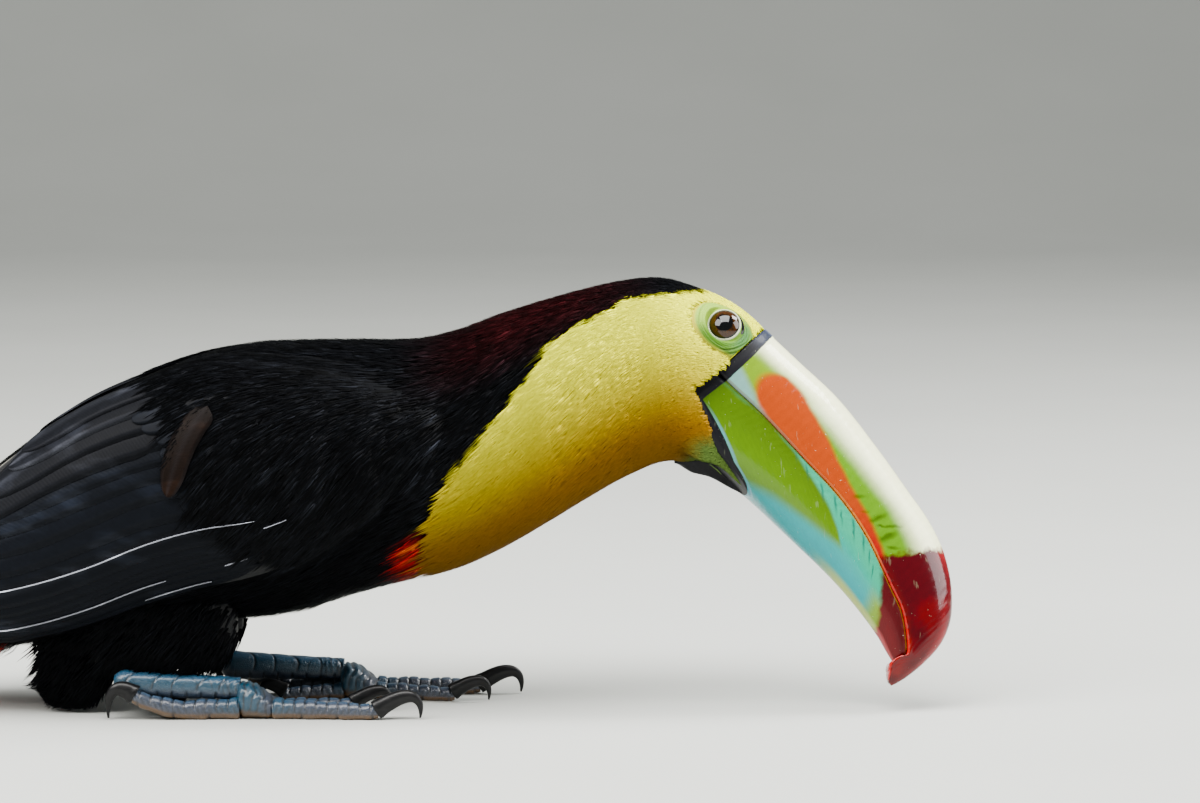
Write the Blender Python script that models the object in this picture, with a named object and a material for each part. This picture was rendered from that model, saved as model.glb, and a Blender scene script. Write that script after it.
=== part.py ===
# Keel-billed toucan, life size, crouched low and leaning forward.
# Metres, +Z up, the bird faces +X, its left side is +Y, the floor is z = 0.
import bpy
import bmesh
import math
from mathutils import Vector, Matrix

for old in list(bpy.data.objects):
    bpy.data.objects.remove(old, do_unlink=True)

MM = 0.001            # every length below is written in millimetres
GAP = 0.3             # clearance between two neighbouring solids
WING_GAP = 0.9        # clearance between a folded wing and the trunk under it
FULLNESS = 2.2        # superellipse exponent of the body's cross-section

# turn of the head: yaw to the bird's left, roll with the left side down
HEAD_YAW = math.radians(10.0)
HEAD_ROLL = math.radians(18.0)
PIVOT_X, PIVOT_Z = 100.0, 115.0
BEND_FROM, BEND_TO = 58.0, 122.0

# body stations: x, top, bottom, half-width
BODY = [
    (-150, 51.0, 37.0, 17.5),
    (-135, 61.5, 32.0, 22.0),
    (-120, 75.5, 26.5, 27.0),
    (-105, 88.5, 23.0, 31.0),
    (-90, 99.5, 24.0, 34.5),
    (-72, 110.5, 27.0, 37.5),
    (-54, 118.5, 30.0, 39.5),
    (-33, 127.5, 32.0, 41.0),
    (-15, 131.8, 33.2, 41.5),
    (5, 133.0, 36.0, 41.0),
    (25, 133.2, 42.0, 39.0),
    (45, 133.4, 47.0, 36.0),
    (60, 136.6, 50.5, 32.5),
    (75, 142.3, 57.5, 29.8),
    (90, 147.0, 66.3, 27.8),
    (105, 151.0, 75.3, 26.0),
    (120, 154.2, 83.3, 24.6),
    (135, 155.2, 88.5, 23.2),
    (150, 151.0, 86.0, 20.8),
    (160, 146.5, 81.0, 18.2),
    (168, 140.5, 77.0, 15.8),
    (178, 130.0, 76.0, 12.0),
]
TRUNK_REAR, TRUNK_NECK, NECK_HEAD = -145.0, 52.0, 108.0
BODY_SIDES = 28

# side profiles of the bill, as they stand in the finished, turned pose: x, z
CULMEN = [(170.6, 134.3), (183.2, 122.8), (197.6, 109.4), (212, 91.4), (222.8, 76.5), (229.9, 66.5),
          (234.8, 56.9), (237.5, 47.4), (238.3, 39.1), (237.5, 31), (234, 23), (228.2, 15.6),
          (222, 11.4), (217, 9.6)]
GAPE = [(153.5, 122), (159, 116.5), (167.8, 108.2), (176.4, 99), (185, 89.6), (193.9, 80.2),
        (200.9, 71.3), (207, 61.6), (211.8, 51.8), (215.8, 43.2), (218.9, 36.5), (220.7, 28.4),
        (221, 20.5)]
HOOK = [(219.4, 14.6), (216.0, 10.8)]          # the upper mandible's edge past the lower's tip
GONYS = [(164, 78.5), (173.3, 68), (183.2, 58.4), (192, 50), (199.5, 42), (205.9, 34.2),
         (211.3, 26.7), (214.2, 21.5), (216.8, 17.2)]
# rear edge of the horn from culmen to gonys, in the head's own plane: x, z
BASE_EDGE = [(172.8, 135.4), (151.4, 117.2), (144.0, 110.4), (153.6, 89.0), (165.6, 76.0)]
# half-width of the two mandibles from base to tip: share of the length, half-width
BILL_WIDTH = [(0, 17.2), (0.12, 16.6), (0.3, 14.8), (0.5, 12.6), (0.7, 10.2), (0.85, 7.4),
              (0.95, 4.6), (1.0, 2.2)]
BILL_STEPS, BILL_SIDES = 16, 9

EYE_X, EYE_Z = 155.4, 136.0            # in the head's own plane
EYEBALL_R, EYE_STANDS_OUT = 7.2, 3.0

# folded wing: x, upper edge and lower edge as angles round the body, thickness at mid-height
WING = [
    (-142, 22, -14, 2.0),
    (-134, 40, -36, 3.0),
    (-120, 60, -54, 3.8),
    (-105, 69, -61, 4.2),
    (-87, 71, -60, 4.6),
    (-70, 71, -56, 5.0),
    (-50, 70, -48, 5.2),
    (-30, 64, -42, 5.2),
    (-8, 56, -37, 5.0),
    (14, 49, -27, 4.6),
    (32, 40, -14, 3.8),
    (44, 24, 2, 2.6),
]
WING_SIDES = 13

# tail: x, half-width, height of its middle, half-thickness
TAIL = [(-145.3, 17.5, 43.6, 5.6), (-158, 20.0, 39.6, 4.6), (-175, 22.5, 34.3, 3.5),
        (-195, 25.0, 28.2, 2.6), (-215, 26.8, 22.4, 2.0), (-228, 25.5, 18.8, 1.6),
        (-235, 20.0, 16.9, 1.3), (-238.3, 12.0, 16.0, 1.1)]

# thigh and vent feathering of the right side: x, underside, upper limit, inner and outer y
THIGH = [(-91.5, 14.0, 22.5, 6.0, 11.0), (-88, 7.0, 23.5, 4.0, 14.5), (-80, 5.0, 25.5, 3.0, 17.0),
         (-71, 5.0, 27.5, 3.0, 19.0), (-66, 8.0, 30.0, 3.0, 21.0), (-61, 18.4, 34.0, 3.0, 24.0),
         (-50, 18.4, 40.0, 3.0, 27.5), (-38, 18.4, 40.0, 3.0, 29.0), (-28, 18.4, 40.0, 4.0, 28.0),
         (-21, 21.0, 38.0, 6.0, 26.0), (-16.5, 28.0, 36.0, 9.0, 21.0)]

# feet: x and y of the ankle joint over each foot, with the sign of its outer side
FEET = {"right": (-12.0, -24.0, -1), "left": (23.0, 19.5, 1)}
TARSUS_LENGTH = 45.0
# toe number, forward (1) or back (-1), start y outwards, length, spread y, radius, lift of its end
TOES = [(1, -1, -4.0, 22.0, -4.5, 3.0, 0.0), (2, 1, -3.9, 29.0, -6.5, 3.2, 0.0),
        (3, 1, 3.9, 38.0, 3.0, 3.6, 0.0), (4, -1, 4.0, 38.0, 3.2, 3.8, 5.5)]
CLAW_REACH = {1: 9.0, 2: 13.5, 3: 16.0, 4: 9.5}
CLAW_RISE = {1: 3.2, 2: 4.8, 3: 5.6, 4: 3.6}


def smooth(stations, x, k):
    """Value k of the stations at x: a cubic through them, its slopes the mean of both sides."""
    n = len(stations)
    up = stations[-1][0] > stations[0][0]
    rows = stations if up else stations[::-1]
    x = min(max(x, rows[0][0]), rows[-1][0])
    i = 0
    while i < n - 2 and x > rows[i + 1][0]:
        i += 1

    def slope(j):
        a, b = max(j - 1, 0), min(j + 1, n - 1)
        return (rows[b][k] - rows[a][k]) / (rows[b][0] - rows[a][0])

    h = rows[i + 1][0] - rows[i][0]
    t = (x - rows[i][0]) / h
    return ((2 * t**3 - 3 * t**2 + 1) * rows[i][k] + (t**3 - 2 * t**2 + t) * h * slope(i)
            + (3 * t**2 - 2 * t**3) * rows[i + 1][k] + (t**3 - t**2) * h * slope(i + 1))


def ease(t):
    t = min(max(t, 0.0), 1.0)
    return t * t * (3 - 2 * t)


def power(v, e):
    return math.copysign(abs(v) ** e, v)


def turned(p):
    """Point of the straight bird moved to the turned pose: roll, then yaw, growing along x."""
    x, y, z = p
    w = ease((x - BEND_FROM) / (BEND_TO - BEND_FROM))
    r, a = HEAD_ROLL * w, HEAD_YAW * w
    y, z = y * math.cos(r) + (z - PIVOT_Z) * math.sin(r), \
        PIVOT_Z + (z - PIVOT_Z) * math.cos(r) - y * math.sin(r)
    return (PIVOT_X + (x - PIVOT_X) * math.cos(a) - y * math.sin(a),
            (x - PIVOT_X) * math.sin(a) + y * math.cos(a), z)


def own(x, z, y=0.0):
    """x, z in the head's own plane of a point seen at x, z from the side in the turned pose."""
    r, a = HEAD_ROLL, HEAD_YAW
    z0 = PIVOT_Z + (z - PIVOT_Z + y * math.sin(r)) / math.cos(r)
    y1 = y * math.cos(r) + (z0 - PIVOT_Z) * math.sin(r)
    return PIVOT_X + (x - PIVOT_X + y1 * math.sin(a)) / math.cos(a), z0


def body(x, angle, out=0.0):
    """Point of the straight body at x: a superellipse between the station's top and bottom."""
    top, low, half = smooth(BODY, x, 1), smooth(BODY, x, 2), smooth(BODY, x, 3)
    mid, c, s = (top + low) / 2, math.cos(angle), math.sin(angle)
    y, z = half * power(c, 2 / FULLNESS), (top - low) / 2 * power(s, 2 / FULLNESS)
    n = Vector((y / half ** 2, z / ((top - low) / 2) ** 2))
    n.normalize()
    return (x, y + n.x * out, mid + z + n.y * out)


def underside(x, y):
    """Height of the body's lower surface at x, y."""
    top, low, half = smooth(BODY, x, 1), smooth(BODY, x, 2), smooth(BODY, x, 3)
    share = max(1 - (abs(y) / half) ** FULLNESS, 0.0) ** (1 / FULLNESS)
    return (top + low) / 2 - (top - low) / 2 * share


def along(curve, t):
    """Point at share t of the length of an open curve of x, z points, rounded between them."""
    steps = [0.0]
    for a, b in zip(curve, curve[1:]):
        steps.append(steps[-1] + math.dist(a, b))
    rows = [(s, p[0], p[1]) for s, p in zip(steps, curve)]
    d = t * steps[-1]
    return smooth(rows, d, 1), smooth(rows, d, 2)


RIDGE_SHARES = [math.sin(math.pi / 2 * j / BILL_SIDES) for j in range(BILL_SIDES + 1)]


def rear_z(v):
    """Height of the lower mandible's rear edge at share v from the gape to the gonys."""
    return BASE_EDGE[1][1] + (BASE_EDGE[-1][1] - BASE_EDGE[1][1]) * v


def edge_x(z, shift):
    """x of the horn's rear edge at height z of the head's plane, moved by shift."""
    rows = BASE_EDGE
    if z >= rows[0][1]:
        a, b = rows[0], rows[1]
    elif z <= rows[-1][1]:
        a, b = rows[-2], rows[-1]
    else:
        a, b = next((p, q) for p, q in zip(rows, rows[1:]) if p[1] >= z >= q[1])
    return a[0] + (b[0] - a[0]) * (z - a[1]) / (b[1] - a[1]) + shift


# ------------------------------------------------------------------ meshes
parts = bpy.data.collections.new("keel_billed_toucan")
bpy.context.scene.collection.children.link(parts)
cutters = bpy.data.collections.new("cutters")
bpy.context.scene.collection.children.link(cutters)
cutters.hide_render = True


def material(name, colour, rough):
    m = bpy.data.materials.new(name)
    m.use_nodes = True
    b = m.node_tree.nodes["Principled BSDF"]
    b.inputs["Base Color"].default_value = (*colour, 1)
    b.inputs["Roughness"].default_value = rough
    m.diffuse_color = (*colour, 1)
    return m


def solid(name, points, faces, colour, rough, where=parts):
    mesh = bpy.data.meshes.new(name)
    mesh.from_pydata([tuple(c * MM for c in p) for p in points], [], faces)
    bm = bmesh.new()
    bm.from_mesh(mesh)
    bmesh.ops.recalc_face_normals(bm, faces=bm.faces[:])
    bmesh.ops.triangulate(bm, faces=bm.faces[:])
    bm.to_mesh(mesh)
    bm.free()
    mesh.materials.append(material(name, colour, rough))
    ob = bpy.data.objects.new(name, mesh)
    where.objects.link(ob)
    return ob


def loft(rings, fan=(True, True)):
    """Points and faces of a closed skin over equal rings, its ends fanned to their middles."""
    points, faces, n = [p for r in rings for p in r], [], len(rings[0])
    for i in range(len(rings) - 1):
        for j in range(n):
            k = (j + 1) % n
            faces.append((i * n + j, i * n + k, (i + 1) * n + k, (i + 1) * n + j))
    for end, base in ((0, 0), (1, (len(rings) - 1) * n)):
        if fan[end]:
            ring = rings[-end]
            points.append(tuple(sum(p[c] for p in ring) / n for c in range(3)))
            faces += [(base + j, base + (j + 1) % n, len(points) - 1) for j in range(n)]
    return points, faces


def body_piece(xs):
    angles = [2 * math.pi * (j + 0.5) / BODY_SIDES for j in range(BODY_SIDES)]
    return [[turned(body(x, a)) for a in angles] for x in xs]


def spread(a, b, n):
    return [a + (b - a) * i / (n - 1) for i in range(n)]


BLACK, YELLOW = (0.012, 0.012, 0.016), (0.80, 0.60, 0.07)

# ------------------------------------------------------------------ trunk, neck
solid("trunk", *loft(body_piece(spread(TRUNK_REAR, TRUNK_NECK - GAP / 2, 16))), BLACK, 0.6)
solid("neck", *loft(body_piece(spread(TRUNK_NECK + GAP / 2, NECK_HEAD - GAP / 2, 7))), YELLOW, 0.7)


# ------------------------------------------------------------------ head, with sockets and bill seat
def profile_prism(name, outline, half):
    """Cutter: a closed outline of x, z points drawn out to both sides."""
    n = len(outline)
    points = [(x, y, z) for y in (-half, half) for x, z in outline]
    faces = [tuple(range(n)), tuple(range(2 * n - 1, n - 1, -1))]
    faces += [(j, (j + 1) % n, n + (j + 1) % n, n + j) for j in range(n)]
    return solid(name, points, faces, YELLOW, 0.7, cutters)


angles = [2 * math.pi * (j + 0.5) / BODY_SIDES for j in range(BODY_SIDES)]
rings = [[body(x, a) for a in angles] for x in spread(NECK_HEAD + GAP / 2, BODY[-1][0], 12)]
head = solid("head", *loft(rings), YELLOW, 0.7)
seat = [(edge_x(z, -GAP / 2), z) for z in [rear_z(v) for v in RIDGE_SHARES[::-1]] + [BASE_EDGE[0][1]]]
seat += [(seat[-1][0] + 9, seat[-1][1] + 16), (215, 170), (215, 50), (seat[0][0] + 6, 50)]


def eye_middle(side):
    top, low = smooth(BODY, EYE_X, 1), smooth(BODY, EYE_X, 2)
    angle = math.asin(((EYE_Z - (top + low) / 2) / ((top - low) / 2)) ** (FULLNESS / 2))
    p = body(EYE_X, angle, EYE_STANDS_OUT - EYEBALL_R)
    return Vector((p[0], side * p[1], p[2]))


def ball(name, middle, radius, colour, rough, where):
    bm = bmesh.new()
    bmesh.ops.create_uvsphere(bm, u_segments=14, v_segments=8, radius=radius,
                              matrix=Matrix.Translation(middle) @ Matrix.Rotation(math.pi / 2, 4, "X"))
    points = [tuple(v.co) for v in bm.verts]
    faces = [tuple(v.index for v in f.verts) for f in bm.faces]
    bm.free()
    return solid(name, points, faces, colour, rough, where)


def carve(cut):
    cut.hide_render = True
    cut.display_type = "WIRE"
    m = head.modifiers.new(cut.name, "BOOLEAN")
    m.operation, m.solver, m.object = "DIFFERENCE", "EXACT", cut


carve(profile_prism("bill_seat", seat, 45.0))
for name, side in (("right", -1), ("left", 1)):
    carve(ball("socket_" + name, eye_middle(side), EYEBALL_R + GAP, YELLOW, 0.7, cutters))
    eye = ball("eye_" + name, eye_middle(side), EYEBALL_R, (0.03, 0.015, 0.008), 0.1, parts)
    for v in eye.data.vertices:
        v.co = Vector(turned(v.co / MM)) * MM
carved = bpy.data.meshes.new_from_object(head.evaluated_get(bpy.context.evaluated_depsgraph_get()))
head.modifiers.clear()
head.data = carved
for v in carved.vertices:
    v.co = Vector(turned(v.co / MM)) * MM


# ------------------------------------------------------------------ bill
def share_of(rows, t):
    return smooth(rows, t, 1)


def mandible(shares, ridge, fold, width, tip):
    """Rings of one mandible between the cutting edge and its ridge, both curves of x, z.

    Ring t runs from the edge (v = 0) over the ridge (v = 1) to the other edge:
    y = w(t) (1 - v^2.3)^(1/2.1), x and z on the chord; near the base the chord is bowed
    back onto the horn's rear edge. The edge stands half the gap off the line of the gape.
    """
    rings = []
    for i, t in enumerate(shares):
        s = t / shares[-1]
        e, r = Vector(along(edge, t)), Vector(along(ridge, s))
        ahead = Vector(along(edge, min(t + 0.02, 1))) - Vector(along(edge, max(t - 0.02, 0)))
        off = Vector((-ahead.y, ahead.x)).normalized()
        e += off * math.copysign(GAP / 2, off.dot(r - e))
        w = share_of(BILL_WIDTH, t) * width * (1 - tip * s ** 8)
        half = []
        for v in RIDGE_SHARES:
            p = e + (r - e) * v
            z0 = edge[0][1] + (ridge[0][1] - edge[0][1]) * v
            back = edge_x(z0, GAP / 2) - edge[0][0] - (ridge[0][0] - edge[0][0]) * v
            p.x += back * max(0.0, 1 - s / fold) ** 1.6
            half.append((p.x, w * (1 - v ** 2.3) ** (1 / 2.1), p.y))
        rings.append([turned(p) for p in half]
                     + [turned((p[0], -p[1], p[2])) for p in half[-2::-1]])
    return rings


def capped(rings):
    """A mandible's skin: strips close the base and the tip, one long strip the mouth side."""
    n = len(rings[0])
    points, faces = [p for r in rings for p in r], []
    for i in range(len(rings) - 1):
        for j in range(n):
            k = (j + 1) % n
            faces.append((i * n + j, i * n + k, (i + 1) * n + k, (i + 1) * n + j))
    for base in (0, (len(rings) - 1) * n):
        for j in range(n // 2):
            if j + 1 == n - 2 - j:
                faces.append((base + j, base + j + 1, base + n - 1 - j))
            else:
                faces.append((base + j, base + j + 1, base + n - 2 - j, base + n - 1 - j))
    return points, faces


culmen = [own(x, z) for x, z in CULMEN]
gonys = [own(x, z) for x, z in GONYS]
gape = [own(x, z, -BILL_WIDTH[0][1] * (1 - 0.85 * i / (len(GAPE) - 1))) for i, (x, z) in enumerate(GAPE)]
hook = [own(x, z) for x, z in HOOK]
gape[0] = BASE_EDGE[1]
culmen[0], gonys[0] = BASE_EDGE[0], BASE_EDGE[-1]
edge = gape + hook
lower_share = sum(math.dist(p, q) for p, q in zip(gape, gape[1:])) \
    / sum(math.dist(p, q) for p, q in zip(edge, edge[1:]))
shares = [lower_share * i / BILL_STEPS for i in range(BILL_STEPS + 1)]
upper = mandible(shares + [(1 + lower_share) / 2, 1.0], culmen, 0.15, 1.0, 0.0)
solid("bill_upper", *capped(upper), (0.42, 0.62, 0.08), 0.25)
lower = mandible(shares, gonys, 0.35, 0.95, 0.35)
solid("bill_lower", *capped(lower), (0.25, 0.55, 0.35), 0.25)


# ------------------------------------------------------------------ wings
def wing(side):
    rings = []
    for i in range(14):
        x = WING[0][0] + (WING[-1][0] - WING[0][0]) * i / 13
        a, b = math.radians(smooth(WING, x, 1)), math.radians(smooth(WING, x, 2))
        thick = smooth(WING, x, 3)
        outer, inner = [], []
        for j in range(WING_SIDES):
            v = j / (WING_SIDES - 1)
            angle = a + (b - a) * v
            out = WING_GAP + 1.0 + (thick - 1.0) * (1 - (2 * v - 1) ** 4) ** 0.5
            for row, o in ((outer, out), (inner, WING_GAP)):
                p = body(x, angle, o)
                row.append((p[0], side * p[1], p[2]))
        rings.append(outer + inner[::-1])
    return loft(rings, (False, False)), len(rings)


for name, side in (("right", -1), ("left", 1)):
    (points, faces), count = wing(side)
    n = 2 * WING_SIDES
    for base in (0, (count - 1) * n):                 # narrow ends, closed in strips
        faces += [(base + j, base + j + 1, base + n - 2 - j, base + n - 1 - j)
                  for j in range(WING_SIDES - 1)]
    solid("wing_" + name, points, faces, (0.010, 0.012, 0.024), 0.45)


# ------------------------------------------------------------------ tail
def oval(middle, across, up, half_across, half_up, sides, fullness=2.3, turn=0.5):
    """Ring of points: a superellipse about middle in the plane of across and up."""
    ring = []
    for j in range(sides):
        a = 2 * math.pi * (j + turn) / sides
        ring.append(tuple(Vector(middle) + Vector(across) * (half_across * power(math.cos(a), 2 / fullness))
                          + Vector(up) * (half_up * power(math.sin(a), 2 / fullness))))
    return ring


xs = [TAIL[0][0] + (TAIL[-1][0] - TAIL[0][0]) * (i / 10) ** 0.85 for i in range(11)]
solid("tail", *loft([oval((x, 0, smooth(TAIL, x, 2)), (0, 1, 0), (0, 0, 1), smooth(TAIL, x, 1),
                          smooth(TAIL, x, 3), 14) for x in xs]), BLACK, 0.5)


# ------------------------------------------------------------------ thighs
def thigh(side):
    rings = []
    for i in range(13):
        x = THIGH[0][0] + (THIGH[-1][0] - THIGH[0][0]) * i / 12
        low, cap, y0, y1 = (smooth(THIGH, x, k) for k in range(1, 5))
        ring = []
        for j in range(16):
            a = 2 * math.pi * (j + 0.5) / 16
            y = (y0 + y1) / 2 + (y1 - y0) / 2 * power(math.cos(a), 0.75)
            high = min(underside(x, y) - WING_GAP, cap)
            z = (high + low) / 2 + (high - low) / 2 * power(math.sin(a), 0.75)
            ring.append((x, side * y, z))
        rings.append(ring)
    return loft(rings)


for name, side in (("right", -1), ("left", 1)):
    solid("thigh_" + name, *thigh(side), BLACK, 0.8)


# ------------------------------------------------------------------ legs and feet
def on_floor(ring):
    return [(x, y, max(z, 0.0)) for x, y, z in ring]


for name, (ax, ay, out) in FEET.items():
    # foot: the block between the tarsus and the four toes
    block = [(ax - 5, 13.4, 7.6), (ax, 12.4, 8.0), (ax + 4, 9.4, 8.0), (ax + 6, 8.0, 7.6)]
    solid("foot_" + name, *loft([on_floor(oval((x, ay, high / 2 - 0.4), (0, 1, 0), (0, 0, 1), wide,
                                               high / 2, 14, 4.0, 0)) for x, high, wide in block]),
          (0.10, 0.20, 0.28), 0.5)
    # tarsus: from the heel under the thigh down to the foot, leaning slightly forward
    rings = []
    for i in range(8):
        t = i / 7
        x = ax - 5 - GAP - TARSUS_LENGTH + TARSUS_LENGTH * t
        round_end = (1 - max(0.0, 0.12 - t) ** 2 / 0.12 ** 2 * 0.75) ** 0.5
        rings.append(oval((x, ay, 12.6 - 1.6 * t), (0, 1, 0), (0, 0, 1), (4.4 - 0.6 * t) * round_end,
                          (4.4 - 2.0 * t) * round_end, 12))
    solid("tarsus_" + name, *loft(rings), (0.09, 0.30, 0.36), 0.4)
    for number, ahead, start, length, aside, radius, lift in TOES:
        x1 = ax + 6 + GAP if ahead > 0 else ax - 5 - GAP
        rings = []
        for i in range(9):
            t = i / 8
            knuckle = 1 + 0.07 * math.cos(2 * math.pi * 3 * t)
            r = radius * (1 - 0.2 * t) * knuckle * (0.86 if i == 8 else 1.0)
            rings.append(on_floor(oval((x1 + ahead * length * t, ay + out * (start + aside * t ** 1.3),
                                        r * 0.93 + lift * max(0.0, 2 * t - 1) ** 1.5),
                                       (0, 1, 0), (0, 0, 1), r * 0.98, r, 10, turn=0)))
        solid("toe_%d_%s" % (number, name), *loft(rings), (0.13, 0.20, 0.26), 0.5)
        # claw: a hook that rises off the toe's end and comes down to a point on the floor
        reach, rise, z0 = CLAW_REACH[number], CLAW_RISE[number], 3.4 + lift
        xe, ye = x1 + ahead * (length + GAP), ay + out * (start + aside)

        def claw_path(t):
            return Vector((xe + ahead * reach * math.sin(1.75 * t) / math.sin(1.571), ye + out * aside * 0.1 * t,
                           z0 + rise * math.sin(math.pi * t) - (z0 - 0.7) * t * t))

        rings = []
        for i in range(8):
            t = i / 7
            ahead_of = (claw_path(t + 0.02) - claw_path(t - 0.02)).normalized() if i else Vector((ahead, 0, 0))
            r = radius * 0.74 * (1 - 0.88 * t ** 1.25)
            up = Vector((0, 1, 0)).cross(ahead_of).normalized() * -1
            rings.append(on_floor(oval(claw_path(t), (0, 1, 0), up, r * 0.75, r, 8)))
        solid("claw_%d_%s" % (number, name), *loft(rings), (0.02, 0.02, 0.022), 0.3)
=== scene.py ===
import math

import bmesh
import bpy
import numpy as np
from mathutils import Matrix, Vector


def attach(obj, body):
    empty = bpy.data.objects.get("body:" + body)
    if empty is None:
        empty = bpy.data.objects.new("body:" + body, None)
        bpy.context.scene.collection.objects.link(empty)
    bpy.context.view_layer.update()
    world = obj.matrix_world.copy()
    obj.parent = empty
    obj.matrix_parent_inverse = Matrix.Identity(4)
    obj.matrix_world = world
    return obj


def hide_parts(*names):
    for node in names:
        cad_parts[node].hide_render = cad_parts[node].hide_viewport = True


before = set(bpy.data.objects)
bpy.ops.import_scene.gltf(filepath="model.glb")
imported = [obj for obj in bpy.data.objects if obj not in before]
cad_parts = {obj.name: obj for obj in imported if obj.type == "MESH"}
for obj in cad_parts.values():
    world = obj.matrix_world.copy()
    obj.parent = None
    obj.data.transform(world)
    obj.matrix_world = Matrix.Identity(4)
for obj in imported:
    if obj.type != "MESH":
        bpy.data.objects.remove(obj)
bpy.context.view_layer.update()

# ---------------------------------------------------------------- skin
# The bird's flesh: one closed skin over trunk, neck, head, thighs and folded wings, lying under
# the feathers by the depth of the coat. It is worked out straight and then turned at the neck.
MM = 0.001                      # every length below is in millimetres
FULLNESS = 2.2                  # power of the superellipse that every section of the body follows
HEAD_YAW, HEAD_ROLL = math.radians(10.0), math.radians(18.0)
PIVOT_X, PIVOT_Z, BEND_FROM, BEND_TO = 100.0, 115.0, 58.0, 122.0
BODY = np.array([               # x, top, bottom, half-width
    (-150, 51.0, 37.0, 17.5), (-135, 61.5, 32.0, 22.0), (-120, 75.5, 26.5, 27.0),
    (-105, 88.5, 23.0, 31.0), (-90, 99.5, 24.0, 34.5), (-72, 110.5, 27.0, 37.5),
    (-54, 118.5, 30.0, 39.5), (-33, 127.5, 32.0, 41.0), (-15, 131.8, 33.2, 41.5),
    (5, 133.0, 36.0, 41.0), (25, 133.2, 42.0, 39.0), (45, 133.4, 47.0, 36.0),
    (60, 136.6, 50.5, 32.5), (75, 142.3, 57.5, 29.8), (90, 147.0, 66.3, 27.8),
    (105, 151.0, 75.3, 26.0), (120, 154.2, 83.3, 24.6), (135, 155.2, 88.5, 23.2),
    (150, 151.0, 86.0, 20.8), (160, 146.5, 81.0, 18.2), (168, 140.5, 77.0, 15.8),
    (178, 130.0, 76.0, 12.0)])
# depth of the feather coat over the skin: x, depth
COAT = np.array([(-150, 2.0), (-100, 2.6), (0, 2.6), (50, 2.2), (90, 1.7), (120, 1.2),
                 (140, 0.9), (155, 0.75), (178, 0.6)])
# rear edge of the bill's horn from culmen to gonys, in the head's own plane: x, z
BASE_EDGE = np.array([(172.8, 135.4), (151.4, 117.2), (140.8, 110.2), (150.8, 89.0), (160.9, 77.6)])
# thighs: x, underside, upper limit, inner and outer y
THIGH = np.array([(-91.5, 14.0, 22.5, 6.0, 11.0), (-88, 7.0, 23.5, 4.0, 14.5), (-80, 5.0, 25.5, 3.0, 17.0),
                  (-71, 5.0, 27.5, 3.0, 19.0), (-66, 8.0, 30.0, 3.0, 21.0), (-61, 18.4, 34.0, 3.0, 24.0),
                  (-50, 18.4, 40.0, 3.0, 27.5), (-38, 18.4, 40.0, 3.0, 29.0), (-28, 18.4, 40.0, 4.0, 28.0),
                  (-21, 21.0, 38.0, 6.0, 26.0), (-16.5, 28.0, 36.0, 9.0, 21.0)])
# folded wings: x, upper and lower edge as angles round the body, thickness
WING = np.array([(-142, 22, -14, 2.0), (-134, 40, -36, 3.0), (-120, 60, -54, 3.8), (-105, 69, -61, 4.2),
                 (-87, 71, -60, 4.6), (-70, 71, -56, 5.0), (-50, 70, -48, 5.2), (-30, 64, -42, 5.2),
                 (-8, 56, -37, 5.0), (14, 49, -27, 4.6), (32, 40, -14, 3.8), (44, 24, 2, 2.6)])
WING_GAP = 0.9
# eyes: place in the head's own plane, ball, and how far it stands out of the cheek
EYE_X, EYE_Z = 155.8, 134.5
EYEBALL_R, EYE_STANDS_OUT = 7.2, 3.6
# rear edge of the yellow bib as seen from the side in the turned pose: x, z
BIB_EDGE = np.array([(153.8, 160), (152.6, 148.6), (135, 149.6), (123.7, 149.4), (118, 146.2), (110, 143.4),
                     (101.5, 139.2), (95, 134.8), (92, 128.2), (86.3, 121.4), (80.3, 112.6), (74.5, 106),
                     (64.8, 94.4), (57.4, 82), (53.3, 73.7), (51.4, 66), (51.6, 57.8), (52.2, 47),
                     (52.4, 30)])


def smooth(rows, x, k):
    """Column k of the rows at every x: a cubic through them, each slope the mean of both sides."""
    if rows[0, 0] > rows[-1, 0]:
        rows = rows[::-1]
    xs, v = rows[:, 0], rows[:, k]
    x = np.clip(x, xs[0], xs[-1])
    i = np.clip(np.searchsorted(xs, x) - 1, 0, len(xs) - 2)
    lo, hi = np.maximum(np.arange(len(xs)) - 1, 0), np.minimum(np.arange(len(xs)) + 1, len(xs) - 1)
    m = (v[hi] - v[lo]) / (xs[hi] - xs[lo])
    h = xs[i + 1] - xs[i]
    t = (x - xs[i]) / h
    return ((2 * t**3 - 3 * t**2 + 1) * v[i] + (t**3 - 2 * t**2 + t) * h * m[i]
            + (3 * t**2 - 2 * t**3) * v[i + 1] + (t**3 - t**2) * h * m[i + 1])


def ease(t):
    """3 t^2 - 2 t^3 between 0 and 1."""
    t = np.clip(t, 0, 1)
    return t * t * (3 - 2 * t)


def power(v, e):
    """Power of the size of v, with the sign of v kept."""
    return np.sign(v) * np.abs(v) ** e


def unit(v):
    """Vectors divided by their own lengths."""
    return v / np.maximum(np.linalg.norm(v, axis=-1, keepdims=True), 1e-12)


def turns(count):
    """Angles of that many points round a full turn, as one row."""
    return 2 * math.pi * np.arange(count)[None] / count


def blend(a, b, share):
    """Colours a carried toward b by a share from 0 to 1 at each point."""
    return a + (np.array(b) - a) * np.asarray(share)[..., None]


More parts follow.
